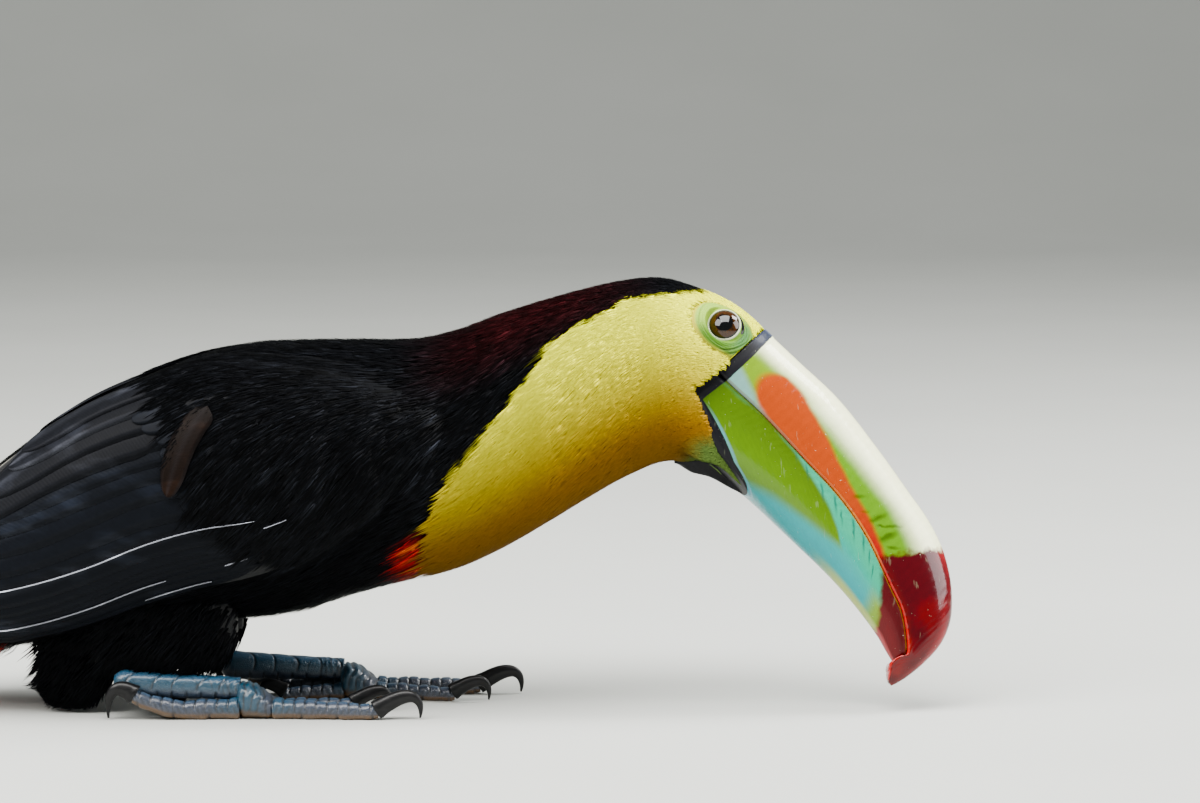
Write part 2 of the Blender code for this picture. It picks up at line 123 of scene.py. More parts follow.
def turned(p):
    """Points of the straight bird in the turned pose: roll, then yaw, both growing along x."""
    x, y, z = p[..., 0], p[..., 1], p[..., 2] - PIVOT_Z
    w = ease((x - BEND_FROM) / (BEND_TO - BEND_FROM))
    r, a = HEAD_ROLL * w, HEAD_YAW * w
    y, z = y * np.cos(r) + z * np.sin(r), PIVOT_Z + z * np.cos(r) - y * np.sin(r)
    return np.stack([PIVOT_X + (x - PIVOT_X) * np.cos(a) - y * np.sin(a),
                     (x - PIVOT_X) * np.sin(a) + y * np.cos(a), z], -1)


def jaw_apart(x):
    """Half the distance between the two halves of the lower jaw, which close in toward the bill."""
    return 9.0 * (1 - 0.75 * ease((x - 150) / 15))


def chin(x, y):
    """Drop of the underside at the throat: a ridge along each half of the jaw, hollow between."""
    apart = jaw_apart(x)
    on_ridge = np.exp(-(((np.abs(y) - apart) / 3.2) ** 2))
    between = np.exp(-((y / np.maximum(apart * 0.6, 1)) ** 4))
    ridge = 3.4 * ease((x - 137) / 9) * ease((169 - x) / 8) * on_ridge
    return 2.6 * ease((x - 138) / 10) * ease((167 - x) / 6) * between - ridge


def body(x, angle, out=0.0):
    """Straight body: y = w cos^(2/n), z = mid + h sin^(2/n), moved out along its normal."""
    top, low, half = smooth(BODY, x, 1), smooth(BODY, x, 2), smooth(BODY, x, 3)
    h = (top - low) / 2
    y, z = half * power(np.cos(angle), 2 / FULLNESS), h * power(np.sin(angle), 2 / FULLNESS)
    n = unit(np.stack([y / half**2, z / h**2], -1))
    z = z + chin(x, y) * ease(-np.sin(angle) * 2)
    return np.stack([x + 0 * y, y + n[..., 0] * out, (top + low) / 2 + z + n[..., 1] * out], -1)


def square_to(normal, ahead):
    """Two unit directions square to a normal: ahead less its share along the normal, and upward."""
    ahead = unit(ahead - (ahead * normal).sum() * normal)
    up = unit(np.cross(normal, ahead))
    return ahead, up * np.sign(up[2])


# the eye's own place and directions on the left side; the right side is its mirror image
eye_top, eye_low = smooth(BODY, EYE_X, 1), smooth(BODY, EYE_X, 2)
eye_angle = math.asin(((EYE_Z - (eye_top + eye_low) / 2) / ((eye_top - eye_low) / 2)) ** (FULLNESS / 2))
eye_at = body(EYE_X, eye_angle)
eye_out = unit(body(EYE_X, eye_angle, 1.0) - eye_at)
eye_ahead, eye_up = square_to(eye_out, unit(body(EYE_X + 0.01, eye_angle) - eye_at))
# the pupil looks more to the side than the slope of the cheek, so the opening is tipped
GAZE = unit(eye_out - 0.26 * eye_up - 0.15 * eye_ahead)
gaze_ahead, gaze_up = square_to(GAZE, eye_ahead)
eye_middle = eye_at + eye_out * (EYE_STANDS_OUT - EYEBALL_R)


def from_eye(p):
    """Vectors from the eye's place to points of the straight body, right ones mirrored to the left."""
    return p * (1, 0, 1) + np.abs(p) * (0, 1, 0) - eye_at


# linear colours of the feathers
YELLOW_SHADED_BELOW, YELLOW_LIT_ABOVE, CHIN_GREEN = (0.25, 0.112, 0.0), (1.0, 1.02, 0.0), (0.055, 0.15, 0.03)
BLACK, MAROON, SCARLET = (0.0022, 0.0025, 0.0034), (0.017, 0.0020, 0.0028), (0.30, 0.004, 0.004)
RUMP_WHITE, VENT_RED = (0.72, 0.70, 0.62), (0.45, 0.02, 0.008)


def plumage(p):
    """Linear colour of the feathers at points of the straight body, and how far inside the bib.

    Both sides are alike. The distance from the bib's edge is taken from the side in the turned
    pose, and is negative behind the edge. Each marking is eased in over its own limits.
    """
    s = turned(np.stack([p[..., 0], -np.abs(p[..., 1]), p[..., 2]], -1))[..., [0, 2]]
    a, b = BIB_EDGE[:-1], BIB_EDGE[1:]
    rel = s[..., None, :] - a
    seg = b - a
    f = np.clip((rel * seg).sum(-1) / (seg**2).sum(-1), 0, 1)
    dist = np.linalg.norm(rel - f[..., None] * seg, axis=-1)
    k = dist.argmin(-1)[..., None]
    cross = np.take_along_axis(seg[:, 0] * rel[..., 1] - seg[:, 1] * rel[..., 0], k, -1)[..., 0]
    inside = np.take_along_axis(dist, k, -1)[..., 0] * np.sign(cross)
    x, z = s[..., 0], s[..., 1]
    px, aside, pz = p[..., 0], np.abs(p[..., 1]), p[..., 2]
    low, top = smooth(BODY, px, 2), smooth(BODY, px, 1)
    rise = np.clip((pz - low) / (top - low), 0, 1)
    # yellow from golden under the throat to lemon above, by height: partly the feathers' own colour, partly
    # painted shade below and painted light above
    yellow = blend(np.array(YELLOW_SHADED_BELOW), YELLOW_LIT_ABOVE, ease((rise - 0.10) / 0.76))
    yellow = blend(yellow, CHIN_GREEN, 0.85 * ease((px - 139) / 10) * ease((96 - pz) / 7))
    black = blend(np.array(BLACK), MAROON, ease(1.25 - np.abs(x - 92) / 38) * ease((rise - 0.74) / 0.20))
    black = blend(black, SCARLET, ease((inside + 5.6) / 1.6) * ease((70 - z) / 7) * (x < 70))
    rump = ease((pz - (low + top) / 2 - 8) / 6) * ease((-96 - px) / 6) * ease((px + 134) / 6)
    black = blend(black, RUMP_WHITE, rump * ease((17 - aside) / 5))
    black = blend(black, VENT_RED, ease((-97 - px) / 4) * ease((low + 9 - pz) / 4))
    return blend(black, yellow, ease(inside / 1.2 + 0.5)), inside


def unwrap(x, angle):
    """Place on the skin's own unwrap: along the body, and round it from a seam under the belly."""
    return np.stack([(x + 150) / 340, np.mod(angle + math.pi / 2, 2 * math.pi) / (2 * math.pi)], -1)


def grid_faces(rows, cols, closed=False):
    """Quads of a grid of rows and columns, the last column joined to the first where closed."""
    i, j = np.meshgrid(np.arange(rows - 1), np.arange(cols if closed else cols - 1), indexing="ij")
    k = (j + 1) % cols
    return np.stack([i * cols + j, i * cols + k, (i + 1) * cols + k, (i + 1) * cols + j], -1).reshape(-1, 4)


def tube(p):
    """Points and faces of a closed tube over a grid of rings, each end drawn to its middle."""
    rows, sides = p.shape[:2]
    n = rows * sides
    j = np.arange(sides)
    k = (j + 1) % sides
    faces = [grid_faces(rows, sides, True), np.stack([j, k, 0 * j + n], -1),
             np.stack([j + n - sides, k + n - sides, 0 * j + n + 1], -1)]
    return np.concatenate([p.reshape(-1, 3), p[[0, -1]].mean(1)]), faces


def end_strips(rows, cols):
    """Quads that close both ends of a flattened tube, laid across between its two sides."""
    j = np.arange((cols - 1) // 2)
    return [np.stack([base + j, base + j + 1, base + cols - 2 - j, base + cols - 1 - j], -1)
            for base in (0, (rows - 1) * cols)]


def face_outward(mesh, merge=0.0):
    """Turn the faces of a closed mesh outwards, once its points nearer than merge are joined."""
    bm = bmesh.new()
    bm.from_mesh(mesh)
    if merge:
        bmesh.ops.remove_doubles(bm, verts=bm.verts[:], dist=merge)
    bmesh.ops.recalc_face_normals(bm, faces=bm.faces[:])
    bm.to_mesh(mesh)
    bm.free()


def colour_points(mesh, name, colours):
    """Store a linear colour for every point of a mesh, where a material can read it by name."""
    layer = mesh.attributes.new(name, "FLOAT_COLOR", "POINT")
    rgba = np.concatenate([colours, np.ones((len(colours), 1))], 1)
    layer.data.foreach_set("color", rgba.ravel().astype(np.float32))


def placed(name, data):
    """A new object of the scene that holds the data, at the origin."""
    ob = bpy.data.objects.new(name, data)
    bpy.context.scene.collection.objects.link(ob)
    return ob


def mesh_of(name, points, faces, uvs=None, colours=None, outward=False):
    """A new object at the origin from points in millimetres, with per-vertex UVs and colours."""
    mesh = bpy.data.meshes.new(name)
    points = np.asarray(points, float).reshape(-1, 3)
    loops = np.concatenate([f.ravel() for f in faces])
    sizes = np.concatenate([np.full(len(f), f.shape[1]) for f in faces])
    mesh.vertices.add(len(points))
    mesh.vertices.foreach_set("co", (points * MM).ravel())
    mesh.loops.add(len(loops))
    mesh.loops.foreach_set("vertex_index", loops.astype(np.int32))
    mesh.polygons.add(len(sizes))
    starts = np.concatenate([[0], np.cumsum(sizes)[:-1]])
    mesh.polygons.foreach_set("loop_start", starts.astype(np.int32))
    mesh.polygons.foreach_set("use_smooth", np.ones(len(sizes), bool))
    for uv_name, uv in (uvs or {}).items():
        layer = mesh.uv_layers.new(name=uv_name)
        layer.data.foreach_set("uv", np.asarray(uv).reshape(-1, 2)[loops].ravel().astype(np.float32))
    for colour_name, tint in (colours or {}).items():
        colour_points(mesh, colour_name, np.asarray(tint).reshape(-1, 3))
    mesh.validate()
    mesh.update()
    if outward:
        face_outward(mesh)
    return placed(name, mesh)


class Value:
    """A number's socket in a material; arithmetic on it adds the Math nodes."""

    def __init__(self, paint, socket):
        self.paint, self.socket = paint, socket

    def math(self, operation, *others):
        return self.paint.node("ShaderNodeMath", {"operation": operation}, dict(enumerate((self,) + others)))

    def __add__(self, other):
        return self.math("ADD", other)

    def __sub__(self, other):
        return self.math("SUBTRACT", other)

    def __mul__(self, other):
        return self.math("MULTIPLY", other)

    __radd__, __rmul__ = __add__, __mul__

    def __rsub__(self, other):
        return self.paint.node("ShaderNodeMath", {"operation": "SUBTRACT"}, {0: other, 1: self})

    def sin(self):
        return self.math("SINE")

    def abs(self):
        return self.math("ABSOLUTE")

    def least(self, other):
        return self.math("MINIMUM", other)

    def most(self, other):
        return self.math("MAXIMUM", other)

    def step(self, a, b):
        """0 below a, 1 above b, eased between them; a may be the larger."""
        if a > b:
            return 1 - self.step(b, a)
        return self.paint.node("ShaderNodeMapRange", {"interpolation_type": "SMOOTHSTEP"},
                               {"Value": self, "From Min": a, "From Max": b})


class Paint:
    """A material made from expressions on its own coordinates, UV maps and attributes."""

    def __init__(self, name, **constants):
        self.mat = bpy.data.materials.new(name)
        self.mat.use_nodes = True
        self.tree = self.mat.node_tree
        self.shader = self.tree.nodes["Principled BSDF"]
        for key, value in constants.items():
            self.shader.inputs[key.replace("_", " ")].default_value = value

    def node(self, kind, settings=None, values=None, out=0):
        """One output of a new node, once its settings, then its values or links, are in place."""
        n = self.tree.nodes.new(kind)
        for key, value in (settings or {}).items():
            setattr(n, key, value)
        for key, value in (values or {}).items():
            if isinstance(value, Value):
                self.tree.links.new(value.socket, n.inputs[key])
            else:
                if isinstance(value, tuple) and len(n.inputs[key].default_value) == 4 and len(value) == 3:
                    value = (*value, 1)
                n.inputs[key].default_value = value
        return Value(self, n.outputs[out])

    def place(self):
        """Object coordinates, in metres."""
        return self.node("ShaderNodeTexCoord", out=3)

    def uv(self, name):
        """Both values of a UV map."""
        split = self.node("ShaderNodeSeparateXYZ", {}, {0: self.node("ShaderNodeUVMap", {"uv_map": name})})
        return split, Value(self, split.socket.node.outputs[1])

    def colour(self, name):
        """The colour stored at each point under that name."""
        return self.node("ShaderNodeAttribute", {"attribute_name": name})

    def noise(self, scale, detail, stretch=None):
        """Cloudy values about 0.5; a stretch under 1 draws them out along that axis."""
        at = self.place()
        if stretch:
            at = self.node("ShaderNodeMapping", {}, {"Vector": at, "Scale": stretch})
        return self.node("ShaderNodeTexNoise", {}, {"Vector": at, "Scale": scale, "Detail": detail})

    def mix(self, amount, a, b):
        """Colour a turned into b by the amount."""
        return self.node("ShaderNodeMix", {"data_type": "RGBA"}, {0: amount, 6: a, 7: b}, out=2)

    def tone(self, colour, gain):
        """A colour made lighter or darker by a value."""
        return self.node("ShaderNodeVectorMath", {"operation": "SCALE"}, {0: colour, 3: gain})

    def bump(self, height, distance):
        """Normals of a relief whose heights from 0 to 1 stand for that distance in metres."""
        return self.node("ShaderNodeBump", {}, {"Height": height, "Distance": distance, "Strength": 1.0})

    def set(self, **inputs):
        """The finished material, its shader's inputs linked to values; a _ stands for a space."""
        for key, value in inputs.items():
            self.tree.links.new(value.socket, self.shader.inputs[key.replace("_", " ")])
        return self.mat


def hairline(z, horn):
    """x of the skin's front line at height z: the horn's edge, carried on over the forehead."""
    return np.where(z > BASE_EDGE[0, 1], BASE_EDGE[0, 0] + (z - BASE_EDGE[0, 1]) * 0.9, horn)


RING = 144                      # points round the body; the one at the seam is repeated
NECK_END = 126.0                # the rings of the body stop here and stretch on to the horn
SOCKET_DEPTH = 4.0


def body_skin():
    """Grid over the straight body, its front line bowed onto the rear edge of the bill.

    It lies inside by the depth of the coat and is tucked in further at both ends. Within 11 mm of
    each eye it eases in sideways, to 4 mm deep under the ball.
    """
    angles = -math.pi / 2 + 2 * math.pi * np.arange(RING + 1) / RING
    rear = np.arange(-144.6, 125.0, 2.2)
    scan = np.linspace(NECK_END, 177.8, 520)
    z = body(scan[:, None], angles[None])[..., 2]
    edge = hairline(z, np.interp(-z, -BASE_EDGE[:, 1], BASE_EDGE[:, 0]))
    front = scan[(scan[:, None] >= edge - 0.4).argmax(0)]
    u = np.linspace(0, 1, 46)[:, None]
    x = np.concatenate([np.repeat(rear[:, None], RING + 1, 1), NECK_END + (front - NECK_END) * u])
    tuck = np.concatenate([np.zeros(len(rear)), 0.7 * np.clip((u[:, 0] - 0.93) / 0.07, 0, 1) ** 2])[:, None]
    tail_tuck = 2.5 * ease((-138 - x) / 7)
    p = body(x, np.repeat(angles[None], len(x), 0), -smooth(COAT, x, 1) - tuck - tail_tuck)
    far = np.linalg.norm(from_eye(p), axis=-1)
    p[..., 1] -= np.sign(p[..., 1]) * SOCKET_DEPTH * ease((11.0 - far) / 5.0)
    p[:, -1] = p[:, 0]
    return p, [grid_faces(len(x), RING + 1)] + end_strips(len(x), RING + 1)


def thigh_skin(side):
    """Ovals along x between the thigh's underside and the belly above it, 1.5 to 2 mm inside."""
    x = np.linspace(-89.5, -19, 40)[:, None]
    low, cap, y0, y1 = (smooth(THIGH, x, k) for k in range(1, 5))
    a = turns(40)
    y = (y0 + y1) / 2 + ((y1 - y0) / 2 - 1.5) * power(np.cos(a), 0.75)
    z = (cap + 8 + low + 2) / 2 + (cap + 8 - low - 2) / 2 * power(np.sin(a), 0.75)
    return tube(np.stack([x + 0 * a, side * y, z], -1))


def wing_place(x, v, out):
    """Point of the folded wing on the bird's right: v runs from its upper edge to its lower."""
    a, b = np.radians(smooth(WING, x, 1)), np.radians(smooth(WING, x, 2))
    return body(x, math.pi - (a + (b - a) * v), out)


def wing_skin(side):
    """A flat shell over the flank: outer and inner sheet between the wing's two edges."""
    x = np.linspace(-139, 41, 90)[:, None]
    v = np.linspace(0.03, 0.96, 48)[None]
    thick = (smooth(WING, x, 3) - 1.8) * np.maximum(1 - (2 * v - 1) ** 4, 0) ** 0.5
    outer, inner = wing_place(x, v, WING_GAP + thick), wing_place(x, v, -4.5 + 0 * v)
    p = np.concatenate([outer, inner[:, ::-1]], 1)
    p[..., 1] *= -side
    return p, [grid_faces(*p.shape[:2], True)] + end_strips(*p.shape[:2])


solids = []
thighs_and_wings = [make(side) for make in (thigh_skin, wing_skin) for side in (-1, 1)]
for n, (p, faces) in enumerate([body_skin()] + thighs_and_wings):
    solids.append(mesh_of("flesh_%d" % n, p, faces))
    face_outward(solids[-1].data, merge=1e-6)
for ob in solids[1:]:
    union = solids[0].modifiers.new(ob.name, "BOOLEAN")
    union.operation, union.solver, union.object = "UNION", "EXACT", ob
joined = bpy.data.meshes.new_from_object(solids[0].evaluated_get(bpy.context.evaluated_depsgraph_get()))
for ob in solids:
    bpy.data.objects.remove(ob)
co = np.empty(len(joined.vertices) * 3)
joined.vertices.foreach_get("co", co)
straight = co.reshape(-1, 3) / MM
joined.vertices.foreach_set("co", (turned(straight) * MM).ravel())
joined.polygons.foreach_set("use_smooth", np.ones(len(joined.polygons), bool))
colour_points(joined, "plumage", plumage(straight)[0])
skin = placed("skin", joined)

paint = Paint("feathered_skin", Roughness=0.75, Specular_IOR_Level=0.3)
grain = paint.noise(900.0, 4.0, stretch=(0.25, 1, 1))
skin.data.materials.clear()
skin.data.materials.append(paint.set(Base_Color=paint.tone(paint.colour("plumage"), grain * 0.6 + 0.55),
                                     Normal=paint.bump(grain, 0.0006)))
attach(skin, "root")
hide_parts("trunk", "neck", "head", "thigh_right", "thigh_left")

# ---------------------------------------------------------------- bill
# The horn sheath of the bill: an upper and a lower mandible of light keratin, glossy as enamel,
# with a raised black rim at the root, a lip along each cutting edge and a few coarse notches in it.
GAP = 0.3                       # between the two mandibles, and between their roots and the skin
# outlines as seen from the side in the turned pose, from the root forward: x, z
CULMEN = [(170.6, 134.3), (183.2, 122.8), (197.6, 109.4), (212, 91.4), (222.8, 76.5), (229.9, 66.5),
          (234.8, 56.9), (237.5, 47.4), (238.3, 39.1), (237.5, 31), (234, 23.4), (228.0, 17.2),
          (222, 12.7), (217.8, 10.3), (215.8, 9.5)]
GAPE = [(153.5, 122), (159, 116.5), (167.8, 108.2), (176.4, 99), (185, 89.6), (193.9, 80.2),
        (200.9, 71.3), (207, 61.6), (211.8, 51.8), (215.8, 43.2), (218.9, 36.5), (220.7, 28.4),
        (221, 20.5)]
HOOK = [(218.2, 19.2), (215.0, 17.2), (214.5, 11.4)]
GONYS = [(164, 78.5), (173.3, 68), (183.2, 58.4), (192, 50), (199.5, 42), (205.9, 34.2),
         (211.3, 26.7), (214.2, 21.5), (216.8, 17.2)]
# half-width at the cutting edge by the share of its length
BILL_WIDTH = np.array([(0, 17.2), (0.12, 16.6), (0.3, 14.8), (0.5, 12.6), (0.7, 10.2), (0.85, 7.4),
                       (0.95, 4.6), (1.0, 2.2)])


REACH = 100.0                   # millimetres that 1 stands for in the map of distances on the horn


def own(x, z, y=0.0):
    """x, z in the head's own plane of a point seen at x, z from the side in the turned pose."""
    z0 = PIVOT_Z + (z - PIVOT_Z + y * math.sin(HEAD_ROLL)) / math.cos(HEAD_ROLL)
    y1 = y * math.cos(HEAD_ROLL) + (z0 - PIVOT_Z) * math.sin(HEAD_ROLL)
    return PIVOT_X + (x - PIVOT_X + y1 * math.sin(HEAD_YAW)) / math.cos(HEAD_YAW), z0


def distances(curve):
    """Length of an open curve from its start up to each of its points."""
    return np.concatenate([[0], np.cumsum(np.linalg.norm(np.diff(np.array(curve), axis=0), axis=1))])


def along(curve, t):
    """Points at shares t of the length of an open curve of x, z points, rounded between them."""
    d = distances(curve)
    rows = np.column_stack([d, np.array(curve)])
    return np.stack([smooth(rows, t * d[-1], 1), smooth(rows, t * d[-1], 2)], -1)


def edge_x(z):
    """x of the horn's rear edge at height z of the head's own plane, half the gap in front."""
    a, b = BASE_EDGE[:-1], BASE_EDGE[1:]
    k = np.clip((z[..., None] < BASE_EDGE[:, 1]).sum(-1) - 1, 0, len(a) - 1)
    return a[k, 0] + (b[k, 0] - a[k, 0]) * (z - a[k, 1]) / (b[k, 1] - a[k, 1]) + GAP / 2


def both_sides(half, flip=1):
    """Columns from one cutting edge to the ridge, then their mirror images back down."""
    return np.concatenate([half, half[:, -2::-1] * flip], 1)


def mandible(name, t, ridge, fold, width, tip, notches):
    """One mandible between the cutting edge (v = 0) and its ridge (v = 1).

    y = w(t) (1 - v^2.3)^(1/2.1), x and z on the chord from edge to ridge, bowed back near the
    base onto the horn's rear edge. Its relief along the normal: a rim 0.3 mm high over the first
    4 mm, a lip 0.3 mm high along the cutting edge, and shallow notches in that lip.
    """
    sides = 44
    v = np.sin(math.pi / 2 * np.arange(sides + 1) / sides)
    s = t / t[-1]
    e, r = along(edge, t), along(ridge, s)
    ahead = along(edge, np.minimum(t + 0.02, 1)) - along(edge, np.maximum(t - 0.02, 0))
    off = unit(np.stack([-ahead[:, 1], ahead[:, 0]], -1))
    e = e + off * np.sign((off * (r - e)).sum(-1, keepdims=True)) * GAP / 2
    blunt = np.sqrt(1 - 0.9 * np.clip((s - 0.985) / 0.015, 0, 1)**2)
    w = smooth(BILL_WIDTH, t, 1) * width * (1 - tip * s**8) * blunt
    p = e[:, None] + (r - e)[:, None] * v[None, :, None]
    z0 = edge[0][1] + (ridge[0][1] - edge[0][1]) * v
    back = edge_x(z0) - edge[0][0] - (ridge[0][0] - edge[0][0]) * v
    x = p[..., 0] + back * np.maximum(0, 1 - s / fold)[:, None] ** 1.6
    half = np.stack([x, w[:, None] * (1 - v**2.3) ** (1 / 2.1), p[..., 1]], -1)
    n = unit(np.cross(np.gradient(half, axis=0), np.gradient(half, axis=1)))
    n *= np.sign(n[:, 1:2, 1:2])
    n[:, -1, 1] = 0
    n = unit(n)
    from_base = np.cumsum(np.linalg.norm(np.diff(half, axis=0, prepend=half[:1]), axis=-1), 0)
    from_edge = np.cumsum(np.linalg.norm(np.diff(half, axis=1, prepend=half[:, :1]), axis=-1), 1)
    rim = 0.3 * (1 - ease((from_base - 3.6) / 0.9)) * ease(from_edge / 1.0)
    lip = 0.32 * np.exp(-(((from_edge - 0.7) / 0.5) ** 2)) * ease((from_base - 18) / 20)
    teeth = np.maximum(0, np.sin(from_base * 2 * math.pi / 4.1 + 1.4 * np.sin(from_base / 5.0))) ** 6
    lip = lip - notches * 0.45 * teeth * np.exp(-((from_edge / 0.9) ** 2)) * ease((from_base - 50) / 12)
    half = half + n * (rim + lip)[..., None]
    ring = both_sides(half, (1, -1, 1))
    rows, cols = ring.shape[:2]
    horn = np.stack([np.repeat(t[:, None], cols, 1), both_sides(np.repeat(v[None], rows, 0))], -1)
    reach = np.stack([both_sides(from_base), both_sides(from_edge)], -1) / REACH
    faces = [grid_faces(rows, cols, True)]
    for base, strip in zip((0, (rows - 1) * cols), end_strips(rows, cols)):
        faces += [strip[:-1], base + np.array([[sides - 1, sides, sides + 1]])]
    return mesh_of(name, turned(ring), faces, {"horn": horn, "reach": reach}, outward=True)


culmen = [own(x, z) for x, z in CULMEN]
gonys = [own(x, z) for x, z in GONYS]
gape = [own(x, z, -BILL_WIDTH[0, 1] * (1 - 0.85 * i / (len(GAPE) - 1))) for i, (x, z) in enumerate(GAPE)]
gape[0], culmen[0], gonys[0] = tuple(BASE_EDGE[1]), tuple(BASE_EDGE[0]), tuple(BASE_EDGE[-1])
edge = gape + [own(x, z) for x, z in HOOK]
lower_share = distances(gape)[-1] / distances(edge)[-1]
u = np.linspace(0, 1, 190)
bill_upper = mandible("bill_upper_horn", 1 - (1 - u) ** 1.15, culmen, 0.15, 1.0, 0.0, 1.0)
bill_lower = mandible("bill_lower_horn", lower_share * (1 - (1 - u) ** 1.1), gonys, 0.35, 0.95, 0.35, 0.6)


def srgb(*tone):
    """Linear colour of a screen tone from 0 to 255, a third richer to stand up to the pale light."""
    c = np.array(tone) / 255
    c = np.where(c < 0.0404, c / 12.92, ((c + 0.055) / 1.055) ** 2.4)
    return tuple(np.clip(c.mean() + (c - c.mean()) * 1.38, 0.0, 1).tolist())


def curve_of(paint, x, *stops):
    """Value running smoothly through the stops (position, value) as x goes from 0 to 1."""
    n = paint.tree.nodes.new("ShaderNodeFloatCurve")
    points = n.mapping.curves[0].points
    while len(points) < len(stops):
        points.new(0.5, 0.5)
    for point, stop in zip(points, stops):
        point.location = stop
    n.mapping.update()
    paint.tree.links.new(x.socket, n.inputs["Value"])
    return Value(paint, n.outputs[0])


def strokes(t, v, wisp, rows):
    """Feathery dark strokes: each row is the share t, the span of v, the slope and half-width."""
    total = None
    for at, low, high, slope, wide in rows:
        bent = t - at - (v - low) * slope + (wisp - 0.5) * 0.012
        mark = bent.abs().step(wide, 0.0) * v.step(low - 0.04, low + 0.05)
        mark = mark * v.step(high + 0.08, high - 0.12)
        total = mark if total is None else total.most(mark)
    return (total * (0.5 + wisp * 0.9)).least(1.0)


def horn_paint(name):
    """A new horn material with its coordinates and two kinds of noise.

    t runs along the cutting edge and v from it to the ridge, both as shares; base and rim are the
    distances in millimetres from the root and from the cutting edge.
    """
    paint = Paint(name, Roughness=0.20, Specular_IOR_Level=0.15, Coat_Weight=0.3, Coat_Roughness=0.05)
    t, v = paint.uv("horn")
    base, rim = paint.uv("reach")
    return paint, t, v, base * REACH, rim * REACH, paint.noise(420.0, 4.0), paint.noise(60.0, 3.0)


def horn_finish(paint, colour, band, base, wisp, cloud):
    """Fine growth lines, pores and scratches, then the bump and gloss of worn horn."""
    scratch = paint.noise(700.0, 2.0, stretch=(1, 1, 0.12)).step(0.66, 0.74)
    speck = paint.noise(1500.0, 1.0).step(0.77, 0.80)
    colour = paint.mix(scratch * 0.10, colour, srgb(225, 235, 200))
    colour = paint.mix(speck * 0.55, colour, srgb(240, 245, 220))
    rings = (base * 1.9 + cloud * 5.0).sin() * 0.35 + wisp * 0.5
    return paint.set(Base_Color=paint.tone(colour, 0.44 + wisp * 0.09), Normal=paint.bump(rings, 0.00006),
                     Roughness=0.12 + wisp * 0.10 + scratch * 0.15 + band * 0.3,
                     Coat_Weight=0.3 - band * 0.25)


BLACK_HORN, RED_WINE = srgb(13, 13, 20), (0.17, 0.0004, 0.004)
paint, t, v, base, rim, wisp, cloud = horn_paint("upper_horn")
soft = v + (cloud - 0.5) * 0.10
# yellow-green flank, darker at its root, and pale along the ridge, where the culmen's own pale yellow-green
# is pushed past white as a painted highlight
colour = paint.mix(soft.step(0.38, 0.80), srgb(108, 154, 12), (1.8, 1.85, 1.15))
colour = paint.mix(t.step(0.26, 0.10) * soft.step(0.72, 0.45), colour, srgb(128, 160, 22))
# orange flame over the cutting edge, and a pale wedge in front of the band's foot
limit = curve_of(paint, t, (0, 0.45), (0.10, 0.60), (0.16, 0.60), (0.22, 0.53), (0.30, 0.43), (0.40, 0.29),
                 (0.50, 0.19), (0.60, 0.13), (0.66, 0.10), (1, 0.03))
start = t - (v - 0.35).abs() * (v - 0.35).abs() * 0.5
flame = paint.mix(t.step(0.45, 0.66), srgb(178, 86, 0), srgb(172, 52, 0))
colour = paint.mix((limit - soft).step(-0.035, 0.055) * start.step(0.068, 0.098), colour, flame)
wedge = curve_of(paint, t, (0, 0.30), (0.05, 0.22), (0.10, 0.12), (0.17, 0.0), (0.5, 0), (1, 0))
colour = paint.mix((wedge - v).step(-0.06, 0.06) * t.step(0.19, 0.15), colour, srgb(142, 180, 172))
# dark strokes between the flame and the red tip
marks = strokes(t, v, wisp, [(0.470, 0.16, 0.30, 0.04, 0.011), (0.545, 0.14, 0.42, -0.04, 0.012),
                             (0.562, 0.20, 0.50, 0.03, 0.007), (0.600, 0.12, 0.40, -0.05, 0.013),
                             (0.622, 0.18, 0.34, 0.03, 0.008), (0.515, 0.12, 0.20, 0.02, 0.007)])
colour = paint.mix(marks * 0.85, colour, srgb(58, 84, 20))
# wine-red tip, brighter along both its edges and at its point
wine = paint.mix(v.step(0.03, 0.16), (0.26, 0.004, 0.001), RED_WINE)
wine = paint.mix(v.step(0.70, 0.98), wine, (0.46, 0.012, 0.02))
wine = paint.mix(t.step(0.90, 0.99), wine, (0.30, 0.004, 0.001))
wine = paint.mix(cloud.step(0.42, 0.60) * 0.65, wine, (0.05, 0.0005, 0.005))
colour = paint.mix((t + (wisp - 0.5) * 0.035 + (v - 0.4) * 0.01).step(0.628, 0.650), colour, wine)
# worn lip along the cutting edge
lip = paint.mix(t.step(0.18, 0.34), srgb(150, 140, 118), srgb(214, 112, 42))
lip = paint.mix(t.step(0.38, 0.50), lip, srgb(246, 150, 92))
lip = paint.mix(t.step(0.60, 0.70), lip, srgb(206, 60, 26))
colour = paint.mix((rim + t * 0.45).step(0.95, 0.55) * (0.45 + t.step(0.2, 0.4) * 0.4), colour, lip)
# black band round the root, its width in centimetres on the curve
edge_of_band = curve_of(paint, v, (0, 0.47), (0.5, 0.45), (0.8, 0.40), (1, 0.36)) * 10.0
band = (edge_of_band - base + (wisp - 0.5) * 0.5).step(-0.15, 0.2)
# the black band turns bluish grey and then pale toward the ridge: a painted highlight
band_with_highlight = paint.mix(v.step(0.55, 0.86), BLACK_HORN, srgb(50, 56, 74))
colour = paint.mix(band, colour, paint.mix(v.step(0.90, 0.99), band_with_highlight, srgb(120, 128, 146)))
bill_upper.data.materials.append(horn_finish(paint, colour, band, base, wisp, cloud))

paint, t, v, base, rim, wisp, cloud = horn_paint("lower_horn")
soft = v + (cloud - 0.5) * 0.10
